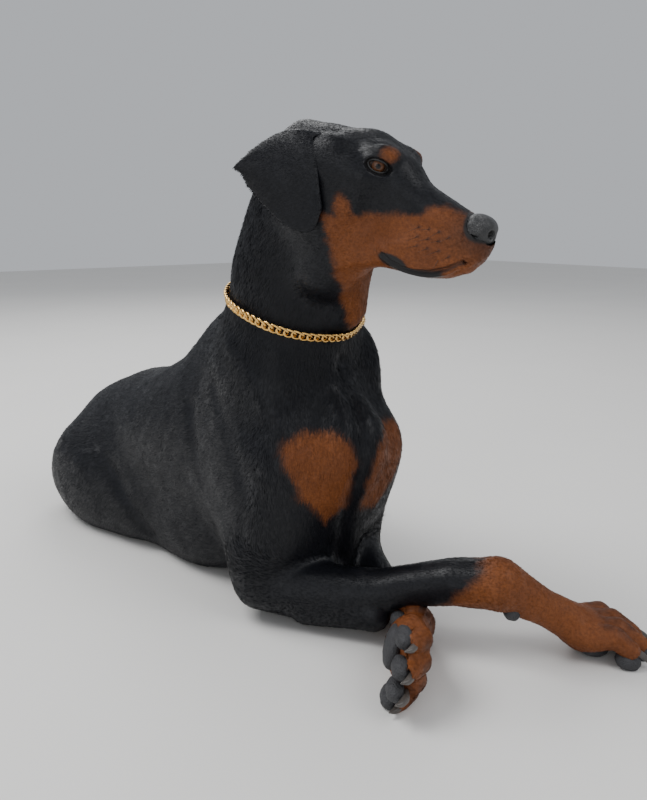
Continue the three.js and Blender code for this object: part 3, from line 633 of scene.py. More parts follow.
def relief(p):
    """Heights of folds, muscles and tendons over the plain form, in millimetres."""
    h = waves(p, 60, 11) * 0.5 + waves(p, 24, 12) * 0.22
    for line, width, height in BODY_RELIEF:
        h += height * np.exp(-((stroke(line)(p) / width) ** 2))
    for line in RIBS:
        h += 1.1 * np.exp(-((stroke(line)(p) / 9) ** 2))
    q = mirrored(to_place(p, HEAD))
    near = np.linalg.norm(q, axis=1) < 170
    m = q[near]
    face = np.zeros(near.sum())
    for line, width, height in FACE_RELIEF:
        face += height * np.exp(-((stroke(line)(m) / width) ** 2))
    lips = LIPS(m)
    face -= 2.6 * np.exp(-((lips / 1.9) ** 2))
    face += 1.5 * np.exp(-(((lips - 4.5) / 2.6) ** 2)) * smooth(m[:, 0], -10, 20)
    for x, z in WHISKERS:
        spot = np.hypot(m[:, 0] - x, m[:, 2] - z)
        face += 0.5 * np.exp(-((spot / 1.8) ** 2)) * (m[:, 1] > 8)
    h[near] += face
    return h


WHISKERS = tuple(
    (62 + 10 * i + 3 * row, -36 - 8 * row - 1.5 * abs(i - 2)) for row in range(3) for i in range(4 - row % 2)
)


# Where the coat lies: each part's field and the way its hair points.
def toward(p, *points):
    """The way along the nearest stretch of a line."""
    line = np.array(points, float)
    best = np.full(len(p), np.inf)
    way = np.zeros((len(p), 3))
    for a, b in zip(line, line[1:]):
        d = stroke([a, b])(p)
        nearer = d < best
        best = np.where(nearer, d, best)
        way[nearer] = unit(b - a)
    return way


def lie_of_coat(p, normal):
    """The way the hair points, flat along the skin."""
    q = to_place(p, HEAD)
    x_axis, y_axis, z_axis = rotation((HEAD["roll"], HEAD["pitch"], HEAD["yaw"])).T
    head_way = -x_axis - 0.35 * z_axis + 0.25 * np.sign(q[:, 1:2]) * y_axis
    neck_way = np.broadcast_to(unit(np.array((-0.45, 0.05, -0.9))), p.shape)
    chest = smooth(p[:, 0], 60, 150)[:, None]
    trunk_way = unit(np.array((-1.0, 0, -0.45))) * (1 - chest) + np.array((0, 0, -1.0)) * chest
    parts = [
        (HEAD_FIELD(p), head_way),
        (NECK(p), neck_way),
        (TRUNK(p), trunk_way),
        (HAUNCHES(p), np.broadcast_to(unit(np.array((-0.8, 0.1, -0.7))), p.shape)),
        (TAIL_FIELD(p), toward(p, *[t[:3] for t in TAIL])),
    ]
    for name, field in LEGS.items():
        side = name.split("_")[1]
        top = ELBOW[side] if name.startswith("front") else STIFLE[side]
        toes = from_place((60, 0, 0), PAWS[name])
        parts.append((field(p), toward(p, top, wrist_of(name), PAWS[name]["at"], toes)))
    total = np.zeros(p.shape)
    nearest = np.min([d for d, _ in parts], axis=0)
    for d, way in parts:
        total += np.exp(-((d - nearest) / 14))[:, None] * way
    total += 0.22 * np.stack([waves(p, 45, 21 + c) for c in range(3)], 1)
    total -= normal * (total * normal).sum(1, keepdims=True)
    return unit(total)


# Meshes, objects and materials.
def new_object(name, mesh, *materials):
    obj = bpy.data.objects.new(name, mesh)
    bpy.context.scene.collection.objects.link(obj)
    for m in materials:
        mesh.materials.append(m)
    mesh.polygons.foreach_set("use_smooth", np.ones(len(mesh.polygons), bool))
    return obj


def mesh_from(name, points, faces):
    """A mesh from points in metres and faces of equal size."""
    mesh = bpy.data.meshes.new(name)
    faces = np.asarray(faces)
    sides = faces.shape[1]
    mesh.vertices.add(len(points))
    mesh.vertices.foreach_set("co", np.asarray(points, np.float32).ravel())
    mesh.loops.add(faces.size)
    mesh.loops.foreach_set("vertex_index", faces.astype(np.int32).ravel())
    mesh.polygons.add(len(faces))
    mesh.polygons.foreach_set("loop_start", np.arange(0, faces.size, sides, dtype=np.int32))
    mesh.update(calc_edges=True)
    return mesh


def mesh_of(bm, name):
    mesh = bpy.data.meshes.new(name)
    bm.to_mesh(mesh)
    bm.free()
    return mesh


def read(items, key, width, kind=float):
    """Rows of a value that each item of a mesh has."""
    out = np.zeros(len(items) * width, kind)
    items.foreach_get(key, out)
    return out.reshape(-1, width)


def points_of(mesh):
    return read(mesh.vertices, "co", 3)


def set_points(mesh, points):
    mesh.vertices.foreach_set("co", np.asarray(points, np.float32).ravel())
    mesh.update()


def mark(mesh, name, values):
    layer = mesh.attributes.get(name) or mesh.attributes.new(name, "FLOAT", "POINT")
    layer.data.foreach_set("value", np.asarray(values, np.float32))


def finished(obj):
    """The object's mesh with its modifiers applied."""
    bpy.context.view_layer.update()
    ready = bpy.data.meshes.new_from_object(obj.evaluated_get(bpy.context.evaluated_depsgraph_get()))
    obj.modifiers.clear()
    old = obj.data
    obj.data = ready
    bpy.data.meshes.remove(old)
    return ready


class Shader:
    """A material with a principled shader, and short ways to add nodes to it."""

    def __init__(self, name, **sockets):
        self.material = bpy.data.materials.new(name)
        self.material.use_nodes = True
        self.nodes = self.material.node_tree.nodes
        self.links = self.material.node_tree.links
        self.surface = next(n for n in self.nodes if n.type == "BSDF_PRINCIPLED")
        for key, value in sockets.items():
            self.surface.inputs[key.replace("_", " ")].default_value = value

    def add(self, kind, settings=None, **inputs):
        node = self.nodes.new(kind)
        for key, value in (settings or {}).items():
            setattr(node, key, value)
        for key, value in inputs.items():
            self.put(node.inputs[key.replace("_", " ")], value)
        return node

    def put(self, socket, value):
        if isinstance(value, bpy.types.NodeSocket):
            self.links.new(value, socket)
        else:
            socket.default_value = value

    def attribute(self, name):
        return self.add("ShaderNodeAttribute", {"attribute_name": name}).outputs["Fac"]

    def noise(self, scale, detail=3.0, stretch=None):
        spot = self.add("ShaderNodeTexCoord").outputs["Object"]
        if stretch:
            spot = self.add("ShaderNodeMapping", Vector=spot, Scale=stretch).outputs["Vector"]
        made = self.add("ShaderNodeTexNoise", Vector=spot, Scale=scale, Detail=detail, Roughness=0.55)
        return made.outputs["Fac"]

    def mix(self, share, a, b):
        node = self.add("ShaderNodeMix", {"data_type": "RGBA"})
        self.put(node.inputs["Factor"], share)
        self.put(node.inputs[6], a)
        self.put(node.inputs[7], b)
        return node.outputs[2]

    def math(self, way, a, b=0.5, clamp=False):
        node = self.add("ShaderNodeMath", {"operation": way, "use_clamp": clamp})
        self.put(node.inputs[0], a)
        self.put(node.inputs[1], b)
        return node.outputs[0]

    def ramp(self, value, low, high, a=0.0, b=1.0):
        node = self.add("ShaderNodeMapRange", Value=value)
        for key, v in (("From Min", low), ("From Max", high), ("To Min", a), ("To Max", b)):
            node.inputs[key].default_value = v
        return node.outputs[0]

    def bump(self, height, distance, strength=1.0):
        node = self.add("ShaderNodeBump", Height=height, Distance=distance, Strength=strength)
        self.links.new(node.outputs["Normal"], self.surface.inputs["Normal"])

    def set(self, name, value):
        self.put(self.surface.inputs[name], value)


def shade(colour, amount):
    return (colour[0] * amount, colour[1] * amount, colour[2] * amount, 1)


def coat_material(name, settings, hair):
    """Black and tan coat: the skin's with its fine fur as bump, or the tufts'."""
    m = Shader(name, Specular_IOR_Level=0.2 if hair else 0.24)
    tan, bare = m.attribute("tan"), m.attribute("bare")
    broad = m.noise(22, 4)
    fine = m.noise(420, 3)
    black = m.mix(fine, shade(settings.black, 0.62), shade(settings.black, 1.7))
    black = m.mix(m.math("MULTIPLY", broad, 0.25), black, shade(settings.brown_black, 1))
    rust = m.mix(m.ramp(fine, 0.3, 0.7), shade(settings.tan, 0.72), shade(settings.tan, 1.25))
    rust = m.mix(m.ramp(broad, 0.35, 0.75, 0, 0.55), rust, shade(settings.deep_tan, 1))
    colour = m.mix(tan, black, rust)
    if not hair:
        colour = m.mix(bare, colour, shade(settings.leather, 1))
        short = m.math("MULTIPLY", m.noise(760, 4, (1, 1.6, 1)), 0.7)
        fur = m.math("ADD", short, m.math("MULTIPLY", fine, 0.5))
        m.bump(fur, 0.0008, 0.35)
    m.set("Base Color", colour)
    plain = settings.roughness + (0.04 if hair else 0)
    rough = m.ramp(m.noise(60, 3), 0.3, 0.7, plain - 0.05, plain + 0.08)
    m.set("Roughness", m.math("ADD", rough, m.math("MULTIPLY", tan, 0.14)))
    return m.material


FLESH = ["torso", "neck", "head", "tail"] + [
    f"{leg}_{side}_{part}" for leg in ("foreleg", "hindleg") for side in SIDES for part in ("upper", "lower")
] + [f"paw_{name}" for name in PAWS]


def close(p, at, reach):
    return np.linalg.norm(p - at, axis=1) < reach


def face_and_feet(p):
    """Where the skin has the first of its three finer levels."""
    chosen = close(to_place(p, HEAD), (10, 0, -30), 150)
    for place in PAWS.values():
        chosen |= close(p, from_place((20, 0, 0), place), 78)
    return chosen


def lips_and_eyes(p):
    """Where the skin has the second level."""
    m = mirrored(to_place(p, HEAD))
    return close(m, (6, 26, 2), 24) | (LIPS(m) < 9) | close(m, (76, 22, -48), 24)


def lid_rims(p):
    """Where the skin has the third level."""
    return close(mirrored(to_place(p, HEAD)), (6, 32, 1), 15)


def skin_mesh(settings):
    """One closed skin over all the flesh, finer on the face and feet."""
    bm = bmesh.new()
    for name in FLESH:
        bm.from_mesh(frame["nodes"][name].data)
    bmesh.ops.remove_doubles(bm, verts=bm.verts, dist=1e-6)
    obj = new_object("skin", mesh_of(bm, "skin"))
    grid = obj.modifiers.new("whole", "REMESH")
    grid.mode = "VOXEL"
    grid.voxel_size = settings.cell
    mesh = finished(obj)
    depth = settings.depth / MM

    def field(p):
        return skin_field(p, depth)

    p = settle(to_dog(points_of(mesh)), field, 3, 8)
    set_points(mesh, to_metres(p))
    for chosen in (face_and_feet, lips_and_eyes, lid_rims):
        bm = bmesh.new()
        bm.from_mesh(mesh)
        fine = chosen(to_dog(np.array([f.calc_center_median() for f in bm.faces])))
        bm.faces.ensure_lookup_table()
        edges = list({e for i in np.nonzero(fine)[0] for e in bm.faces[i].edges})
        bmesh.ops.subdivide_edges(bm, edges=edges, cuts=1, use_grid_fill=True)
        bm.to_mesh(mesh)
        bm.free()
        p = settle(to_dog(points_of(mesh)), field, 3, 4)
        set_points(mesh, to_metres(p))
    return obj, p


def ear_mesh(side, settings):
    """A folded ear: a curved sheet from the skull over its fold and down to its rim, given its thickness."""
    s = SIDES[side]
    rows = [spline([(x, s * y, z) for x, y, z in row], EAR_STEPS)[0] for row in EAR]
    wide, tall = EAR_GRID
    bm = bmesh.new()
    bmesh.ops.create_grid(bm, x_segments=wide, y_segments=tall, size=1)
    columns = []
    steps = range(EAR_STEPS + 1)
    for at in np.linspace(0, EAR_STEPS, wide + 1):
        stops = [[np.interp(at, steps, row[:, c]) for c in range(3)] for row in rows]
        columns.append(spline(stops, tall)[0])
    for v in bm.verts:
        across, down = (v.co.x + 1) / 2, (v.co.y + 1) / 2
        ripple = 1.3 * math.sin(across * 9 + down * 2) * down * (1 - 0.4 * down)
        place = columns[round(across * wide)][round(down * tall)] + np.array((0, s, 0)) * ripple
        v.co = Vector(to_metres(from_place(place, HEAD)))
    bmesh.ops.recalc_face_normals(bm, faces=bm.faces)
    middle = Vector(to_metres(from_place((-75, 0, -30), HEAD)))
    outward = sum(f.normal.dot(f.calc_center_median() - middle) for f in bm.faces)
    if outward < 0:
        bmesh.ops.reverse_faces(bm, faces=bm.faces)
    bmesh.ops.solidify(bm, geom=bm.faces, thickness=settings.ear_thickness)
    obj = new_object(f"ear_{side}", mesh_of(bm, f"ear_{side}"))
    obj.modifiers.new("soft rim", "SUBSURF").levels = 1
    obj.modifiers["soft rim"].render_levels = 1
    finished(obj)
    return obj


def joined(obj, others):
    """Takes the other objects into the first one."""
    bm = bmesh.new()
    bm.from_mesh(obj.data)
    for other in others:
        bm.from_mesh(other.data)
        bpy.data.objects.remove(other)
    bm.to_mesh(obj.data)
    bm.free()


def colour_setting(name, description, value):
    """A colour among the settings."""
    return bpy.props.FloatVectorProperty(
        name=name, description=description, default=(*value, 1), size=4, subtype="COLOR")


def length_setting(name, description, value):
    """A length among the settings, in metres."""
    return bpy.props.FloatProperty(name=name, description=description, default=value, unit="LENGTH")


class SkinSettings(bpy.types.PropertyGroup):
    """Sizes and colours of the skin and its coat."""

    depth: length_setting("Coat depth", "How far the skin lies inside the coat", 0.0011)
    cell: length_setting("Skin cell", "Width of the skin's plain mesh cells", 0.0052)
    ear_thickness: length_setting("Ear thickness", "Thickness of the ear flap", 0.0028)
    roughness: bpy.props.FloatProperty(
        name="Coat roughness", description="How dull the coat's shine is", default=0.38, subtype="FACTOR")
    black: colour_setting("Black", "Colour of the black coat", (0.0052, 0.0060, 0.0084))
    brown_black: colour_setting("Brown black", "Warmer colour of the worn coat", (0.011, 0.0088, 0.0082))
    tan: colour_setting("Tan", "Colour of the tan markings", (0.18, 0.055, 0.015))
    deep_tan: colour_setting("Deep tan", "Darker rust of the tan markings", (0.085, 0.024, 0.008))
    leather: colour_setting("Bare skin", "Colour of the lips and eye rims", (0.012, 0.0115, 0.012))
    tufts: bpy.props.IntProperty(
        name="Tufts", description="Number of tufts in each piece of the coat", default=60000, min=100)


class DetailSettings(bpy.types.PropertyGroup):
    """Sizes and colours of the eyes, nose, claws, pads and collar."""

    iris: colour_setting("Iris", "Colour of the eyes", (0.075, 0.028, 0.010))
    nose: colour_setting("Nose leather", "Colour of the nose", (0.012, 0.0125, 0.014))
    claw: colour_setting("Claw horn", "Colour of the claws", (0.06, 0.052, 0.047))
    pad: colour_setting("Pad leather", "Colour of the pads", (0.034, 0.034, 0.037))
    gold: colour_setting("Gold", "Colour of the collar", (0.80, 0.50, 0.17))
    links: bpy.props.IntProperty(
        name="Links", description="Number of links round the neck", default=62, min=20)
    wire: length_setting("Wire radius", "Half the thickness of a link's wire", 0.0014)


class StageSettings(bpy.types.PropertyGroup):
    """Colours of the stage and the camera's lens."""

    floor: colour_setting("Floor", "Colour of the floor", (0.72, 0.71, 0.69))
    lens: bpy.props.FloatProperty(
        name="Lens", description="Focal length of the camera in millimetres", default=33.3, min=10)


class DOG_OT_skin(bpy.types.Operator):
    """Makes the skin with its ears, folds and markings"""

    bl_idname = "dog.skin"
    bl_label = "Skin"

    def execute(self, context):
        settings = context.scene.dog_skin
        obj, p = skin_mesh(settings)
        mesh = obj.data
        slope = slope_of(lambda x: skin_field(x, settings.depth / MM), p)[1]
        p = p + unit(slope) * np.minimum(relief(p), 5)[:, None]
        p = open_eyes(p)
        p[:, 2] = np.maximum(p[:, 2], 0)
        set_points(mesh, to_metres(p))
        joined(obj, [ear_mesh(side, settings) for side in SIDES])
        tan, bare = markings(to_dog(points_of(mesh)))
        ear = ear_share(to_dog(points_of(mesh)))
        mark(mesh, "tan", tan * (1 - ear))
        mark(mesh, "bare", bare * (1 - ear))
        mesh.materials.append(coat_material("coat skin", settings, False))
        mesh.polygons.foreach_set("use_smooth", np.ones(len(mesh.polygons), bool))
        unwrap(obj)
        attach(obj, "root")
        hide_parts(*FLESH, "ear_left", "ear_right")
        return {"FINISHED"}


def ear_share(p):
    """1 on the ears, 0 elsewhere."""
    q = mirrored(to_place(p, HEAD))
    return ((q[:, 0] < -16) & (q[:, 1] > 33) & (HEAD_FIELD(p) > 2.5) & (q[:, 2] > -100)).astype(float)


def unwrap(obj):
    """Gives the skin a map of its own shape."""
    obj.data.uv_layers.new(name="OFBake")
    context = bpy.context
    for other in context.view_layer.objects:
        other.select_set(False)
    context.view_layer.objects.active = obj
    obj.select_set(True)
    bpy.ops.object.mode_set(mode="EDIT")
    bpy.ops.mesh.select_all(action="SELECT")
    bpy.ops.uv.smart_project(angle_limit=math.radians(66), island_margin=0.001)
    bpy.ops.object.mode_set(mode="OBJECT")
    obj.select_set(False)


def region_of(p):
    """Which piece of the coat each point belongs to: head, neck, forequarters, back or hindquarters."""
    head = HEAD_FIELD(p) < np.minimum(NECK(p), 14)
    head |= ear_share(p) > 0
    neck = ~head & (p[:, 0] * 0.5 + p[:, 2] > 330) & (p[:, 0] > -40)
    legs = np.min([f(p) for f in (FORE_LEFT, FORE_RIGHT)], axis=0) < 4
    fore = ~head & ~neck & ((p[:, 0] > 20) | legs)
    back = ~head & ~neck & ~fore & (p[:, 0] > -190)
    return np.select([head, neck, fore, back], [0, 1, 2, 3], 4)


COATS = (
    ("coat_head", 3.4, 0.34, 1.0),
    ("coat_neck", 7.5, 0.45, 1.0),
    ("coat_forequarters", 7.0, 0.5, 1.0),
    ("coat_back", 7.5, 0.5, 1.0),
    ("coat_hindquarters", 7.5, 0.55, 1.0),
)


class DOG_OT_coat(bpy.types.Operator):
    """Lays tufts of short hair over the skin, along the lie of the coat"""

    bl_idname = "dog.coat"
    bl_label = "Coat"

    def execute(self, context):
        settings = context.scene.dog_skin
        skin = bpy.data.objects["skin"].data
        rng = np.random.default_rng(7)
        points = to_dog(points_of(skin))
        skin.calc_loop_triangles()
        corners, loops = (read(skin.loop_triangles, key, 3, np.int32) for key in ("vertices", "loops"))
        normals = read(skin.vertex_normals, "vector", 3)
        uv = read(skin.uv_layers["OFBake"].data, "uv", 2)
        tri = points[corners]
        area = np.linalg.norm(np.cross(tri[:, 1] - tri[:, 0], tri[:, 2] - tri[:, 0]), axis=1) / 2
        centre = tri.mean(1)
        face_normal = normals[corners].mean(1)
        shown = ~((centre[:, 2] < 3) & (face_normal[:, 2] < -0.5))
        region = region_of(centre)
        tan, bare = (read(skin.attributes[name].data, "value", 1)[:, 0] for name in ("tan", "bare"))
        material = coat_material("coat tufts", settings, True)
        for number, (name, length, width, share) in enumerate(COATS):
            weight = area * (region == number) * shown * (bare[corners].mean(1) < 0.35)
            count = int(settings.tufts * share)
            pick = rng.choice(len(area), count, p=weight / weight.sum())
            a, b = rng.random((2, count))
            over = a + b > 1
            a[over], b[over] = 1 - a[over], 1 - b[over]
            bary = np.stack([1 - a - b, a, b], 1)[:, :, None]
            root = (tri[pick] * bary).sum(1)
            normal = unit((normals[corners[pick]] * bary).sum(1))
            way = lie_of_coat(root, normal)
            where = (uv[loops[pick]] * bary).sum(1)
            colour = (tan[corners[pick]] * bary[:, :, 0]).sum(1)
            long = length * rng.uniform(0.65, 1.25, count) * tuft_length(root)
            lay_tufts(name, rng, root, normal, way, long, width, where, colour, material)
        return {"FINISHED"}


def tuft_length(p):
    """Hair is shorter on the face, feet and legs, and longer on the nape."""
    q = to_place(p, HEAD)
    scale = np.ones(len(p))
    muzzle = smooth(q[:, 0], -60, 40) * (np.linalg.norm(q, axis=1) < 160)
    scale *= 1 - 0.45 * muzzle
    legs = np.min([f(p) for f in LEGS.values()], axis=0)
    scale *= 1 - 0.5 * smooth(-legs, -8, 0)
    for place in PAWS.values():
        scale *= 1 - 0.35 * smooth(-np.linalg.norm(p - place["at"], axis=1), -90, -40)
    nape = smooth(-np.linalg.norm(p - (40, -60, 400), axis=1), -150, -60)
    return scale * (1 + 0.45 * nape)


def lay_tufts(name, rng, root, normal, way, long, width, where, tan, material):
    """Joins one flat, tapered tuft for each root: two rows and a tip, bent along the skin."""
    count = len(root)
    twist = rng.normal(0, 0.16, count)[:, None]
    across = unit(np.cross(normal, way) + normal * rng.normal(0, 0.22, count)[:, None])
    way = unit(way + across * twist)
    lift = rng.uniform(0.04, 0.17, count)[:, None]
    long = long[:, None]
    wide = width * rng.uniform(0.7, 1.3, count)[:, None]
    base = root - normal * 0.25
    middle = root + way * long * 0.5 + normal * (0.15 + long * lift * 0.6)
    tip = root + way * long + normal * (long * lift * 0.55)
    ring = np.stack([base + across * wide, base - across * wide, middle + across * wide * 0.75,
                     middle - across * wide * 0.75, tip], 1)
    ring[:, :, 2] = np.maximum(ring[:, :, 2], 0.05)
    start = np.arange(count)[:, None, None] * 5
    faces = (np.array([[0, 2, 3], [0, 3, 1], [2, 4, 3]]) + start).reshape(-1, 3)
    first = np.cross(ring[:, 2] - ring[:, 0], ring[:, 3] - ring[:, 0])
    if (first * normal).sum() < 0:
        faces = faces[:, ::-1]
    mesh = mesh_from(name, to_metres(ring.reshape(-1, 3)), faces)
    obj = new_object(name, mesh, material)
    mark(mesh, "tan", np.repeat(tan, 5))
    mark(mesh, "bare", np.zeros(count * 5))
    shown = unit(normal + rng.normal(0, 0.07, (count, 3)))
    mesh.normals_split_custom_set_from_vertices(np.repeat(shown, 5, axis=0).tolist())
    patch = np.array([(-1, -1), (1, -1), (-1, 0.4), (1, 0.4), (0, 1)]) * 0.0015
    spots = (where[:, None, :] + patch).reshape(-1, 2)
    layer = mesh.uv_layers.new(name="OFBake")
    layer.data.foreach_set("uv", spots[faces.ravel()].astype(np.float32).ravel())
    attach(obj, "root")
    return obj


class DOG_OT_eyes(bpy.types.Operator):
    """Makes the eyes with their irises and the rims of their lids"""

    bl_idname = "dog.eyes"
    bl_label = "Eyes"

    def execute(self, context):
        settings = context.scene.dog_details
        m = Shader("eye", Roughness=0.14, Coat_Weight=0.1, Coat_Roughness=0.03, Specular_IOR_Level=0.3)
        out = m.attribute("from_axis")
        streaks = m.noise(700, 4)
        iris = m.mix(streaks, shade(settings.iris, 0.55), shade(settings.iris, 1.5))
        iris = m.mix(m.ramp(out, 5.2, 6.6), iris, (0.006, 0.004, 0.003, 1))
        colour = m.mix(m.ramp(out, 2.1, 2.5), (0.0015, 0.0015, 0.002, 1), iris)
        colour = m.mix(m.ramp(out, 6.6, 7.4), colour, (0.045, 0.03, 0.024, 1))
        m.set("Base Color", colour)
        lid = Shader("lid", Roughness=0.3, Base_Color=(0.008, 0.0075, 0.0075, 1))
        lid.bump(lid.noise(900, 3), 0.0004, 0.5)
        for side, s in SIDES.items():
            centre = eye_centre(s)
            across, up, axis = gaze_frame(s)
            bm = bmesh.new()
            bmesh.ops.create_uvsphere(bm, u_segments=48, v_segments=36, radius=1)
            mesh = mesh_of(bm, f"eye_{side}_ball")
            sphere = points_of(mesh)
            beside = np.hypot(sphere[:, 0], sphere[:, 1]) * EYE["radius"]
            bulge = 0.7 * np.clip(1 - (beside / 6.6) ** 2, 0, 1) * (sphere[:, 2] > 0)
            size = (EYE["radius"] - 0.1 + bulge)[:, None]
            gaze = sphere[:, :1] * across + sphere[:, 1:2] * up + sphere[:, 2:] * axis
            set_points(mesh, to_metres(from_place(centre + gaze * size, HEAD)))
            mark(mesh, "from_axis", np.where(sphere[:, 2] > 0, beside, 12))
            fix_normals(mesh)
            eye = new_object(f"eye_{side}_ball", mesh, m.material)
            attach(eye, "root")
            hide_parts(f"eye_{side}")
            turn = np.linspace(0, 2 * math.pi, 72, endpoint=False)
            h = 9.7 * np.cos(turn)
            v = 5.7 * np.sin(turn) - SLIT["slant"] * h
            depth = np.sqrt(np.maximum(SLIT["lid_reach"]**2 - h**2 - v**2, 1))
            line = centre + h[:, None] * across + v[:, None] * up + depth[:, None] * axis
            radius = 1.15 + 0.35 * np.maximum(np.sin(turn), 0)
            rim = closed_tube(f"lid_{side}", from_place(line, HEAD), radius, 10, lid.material)
            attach(rim, "root")
        return {"FINISHED"}


def fix_normals(mesh):
    bm = bmesh.new()
    bm.from_mesh(mesh)
    bmesh.ops.recalc_face_normals(bm, faces=bm.faces)
    bm.to_mesh(mesh)
    bm.free()


def closed_tube(name, line, radius, around, material):
    """A closed ring of wire through points in the dog's frame."""
    line = np.asarray(line)
    along = unit(np.roll(line, -1, 0) - np.roll(line, 1, 0))
    middle = line.mean(0)
    side = unit(line - middle - along * ((line - middle) * along).sum(1, keepdims=True))
    up = np.cross(along, side)
    turn = np.linspace(0, 2 * math.pi, around, endpoint=False)
    radius = np.broadcast_to(radius, len(line))[:, None, None]
    across, over = np.cos(turn)[:, None], np.sin(turn)[:, None]
    rings = line[:, None] + radius * (side[:, None] * across + up[:, None] * over)
    mesh = mesh_from(name, to_metres(rings.reshape(-1, 3)), ring_faces(len(line), around, True))
    fix_normals(mesh)
    return new_object(name, mesh, material)


def ring_faces(rings, around, closed=False):
    """Quads between rings of points."""
    i, k = np.meshgrid(np.arange(rings if closed else rings - 1), np.arange(around), indexing="ij")
    this, after = i * around, (i + 1) % rings * around
    beside = (k + 1) % around
    return np.stack([this + k, this + beside, after + beside, after + k], -1).reshape(-1, 4)


class DOG_OT_nose(bpy.types.Operator):
    """Makes the nose leather with its nostrils"""

    bl_idname = "dog.nose"
    bl_label = "Nose"

    def execute(self, context):
        settings = context.scene.dog_details
        m = Shader("nose leather", Roughness=0.42, Specular_IOR_Level=0.55, Coat_Weight=0.15,
                   Coat_Roughness=0.3)
        cells = m.add("ShaderNodeTexVoronoi", {"feature": "DISTANCE_TO_EDGE"}, Scale=650.0,
                      Vector=m.add("ShaderNodeTexCoord").outputs["Object"])
        edge = m.ramp(cells.outputs["Distance"], 0.0, 0.22)
        # Painted shade: the nostril openings and the grooves of their wings darken to near black where they
        # sink deepest.
        nostril_shade = m.attribute("nostril_shade")
        colour = m.mix(edge, shade(settings.nose, 0.45), shade(settings.nose, 1.35))
        m.set("Base Color", m.mix(nostril_shade, colour, (0.001, 0.001, 0.001, 1)))
        m.bump(m.math("ADD", edge, m.noise(300, 3)), 0.0006, 0.7)
        bm = bmesh.new()
        bmesh.ops.create_uvsphere(bm, u_segments=112, v_segments=84, radius=1)
        mesh = mesh_of(bm, "nose_leather")
        p = points_of(mesh)
        sphere = np.stack([p[:, 2], p[:, 0], p[:, 1]], 1)
        size = np.array(NOSE["size"], float)
        shape = np.sign(sphere) * np.abs(sphere) ** 0.86
        q = shape * size
        m_side = mirrored(q)
        slit = stroke([(9, 6.5, 1.0), (8.0, 11, -1.5), (5, 15, -4.5), (0, 17.5, -6)])(m_side)
        hole = egg((13, 6.6, 1.2), (6, 4.0, 3.8))(m_side)
        depth = 3.2 * np.exp(-((slit / 1.5) ** 2)) + 4.5 * smooth(-hole, -1.4, 1.4)
        depth += 1.3 * np.exp(-((m_side[:, 1] / 1.1) ** 2)) * smooth(-q[:, 2], -3, 3) * (q[:, 0] > 0)
        q -= unit(q) * depth[:, None]
        q[:, 0] *= np.where(q[:, 0] < 0, 0.9, 1)
        set_points(mesh, to_metres(from_place(q + NOSE["at"], HEAD)))
        # The painted shade of the nostrils follows how deep each point sinks.
        mark(mesh, "nostril_shade", np.clip(smooth(depth, 1.6, 3.6), 0, 1))
        fix_normals(mesh)
        nose = new_object("nose_leather", mesh, m.material)
        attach(nose, "root")
        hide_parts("nose")
        return {"FINISHED"}


def horn(line, radii, around=12, steps=14):
    """Rings of points round a smooth line, for a tapered tube."""
    at, along = spline(line, steps)
    size = np.interp(np.linspace(0, 1, steps + 1), np.linspace(0, 1, len(radii)), radii)
    side = unit(np.cross(np.array((0.13, 1, 0.31)), along))
    up = np.cross(along, side)
    turn = np.linspace(0, 2 * math.pi, around, endpoint=False)
    rings = at[:, None] + size[:, None, None] * (
        side[:, None] * np.cos(turn)[:, None] + up[:, None] * np.sin(turn)[:, None])
    return rings


def tubes(name, stacks, material):
    """One object from stacks of rings, each closed at both ends."""
    bm = bmesh.new()
    for rings in stacks:
        rows = [[bm.verts.new(Vector(to_metres(q))) for q in ring] for ring in rings]
        for one, two in zip(rows, rows[1:]):
            for k in range(len(one)):
                j = (k + 1) % len(one)
                bm.faces.new((one[k], one[j], two[j], two[k]))
        bm.faces.new(rows[0][::-1])
        bm.faces.new(rows[-1])
    bmesh.ops.recalc_face_normals(bm, faces=bm.faces)
    return new_object(name, mesh_of(bm, name), material)


class DOG_OT_claws(bpy.types.Operator):
    """Makes the claws of the four feet"""

    bl_idname = "dog.claws"
    bl_label = "Claws"

    def execute(self, context):
        settings = context.scene.dog_details
        m = Shader("claw horn", Roughness=0.33, Specular_IOR_Level=0.5)
        streak = m.noise(500, 3, (1, 1, 0.25))
        m.set("Base Color", m.mix(streak, shade(settings.claw, 0.5), shade(settings.claw, 1.7)))
        m.bump(streak, 0.0003, 0.5)
        stacks = []
        nodes = []
        for name, place in PAWS.items():
            for i, t in enumerate(TOES):
                tip = np.array((t["reach"] + 2, t["y"] + t["splay"], -4.0))
                line = np.array([(-12, 0, 6), (-3, 0, 5), (5, 0, 1), (10, 0, -5)]) + tip
                rings = from_place(horn(line, (3.0, 3.8, 2.9, 0.7)).reshape(-1, 3), place).reshape(-1, 12, 3)
                rings[:, :, 2] = np.maximum(rings[:, :, 2], 0.6)
                stacks.append(rings)
                nodes.append(f"claw_{name}_{i + 1}")
        claws = tubes("claws", stacks, m.material)
        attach(claws, "root")
        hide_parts(*nodes)
        return {"FINISHED"}


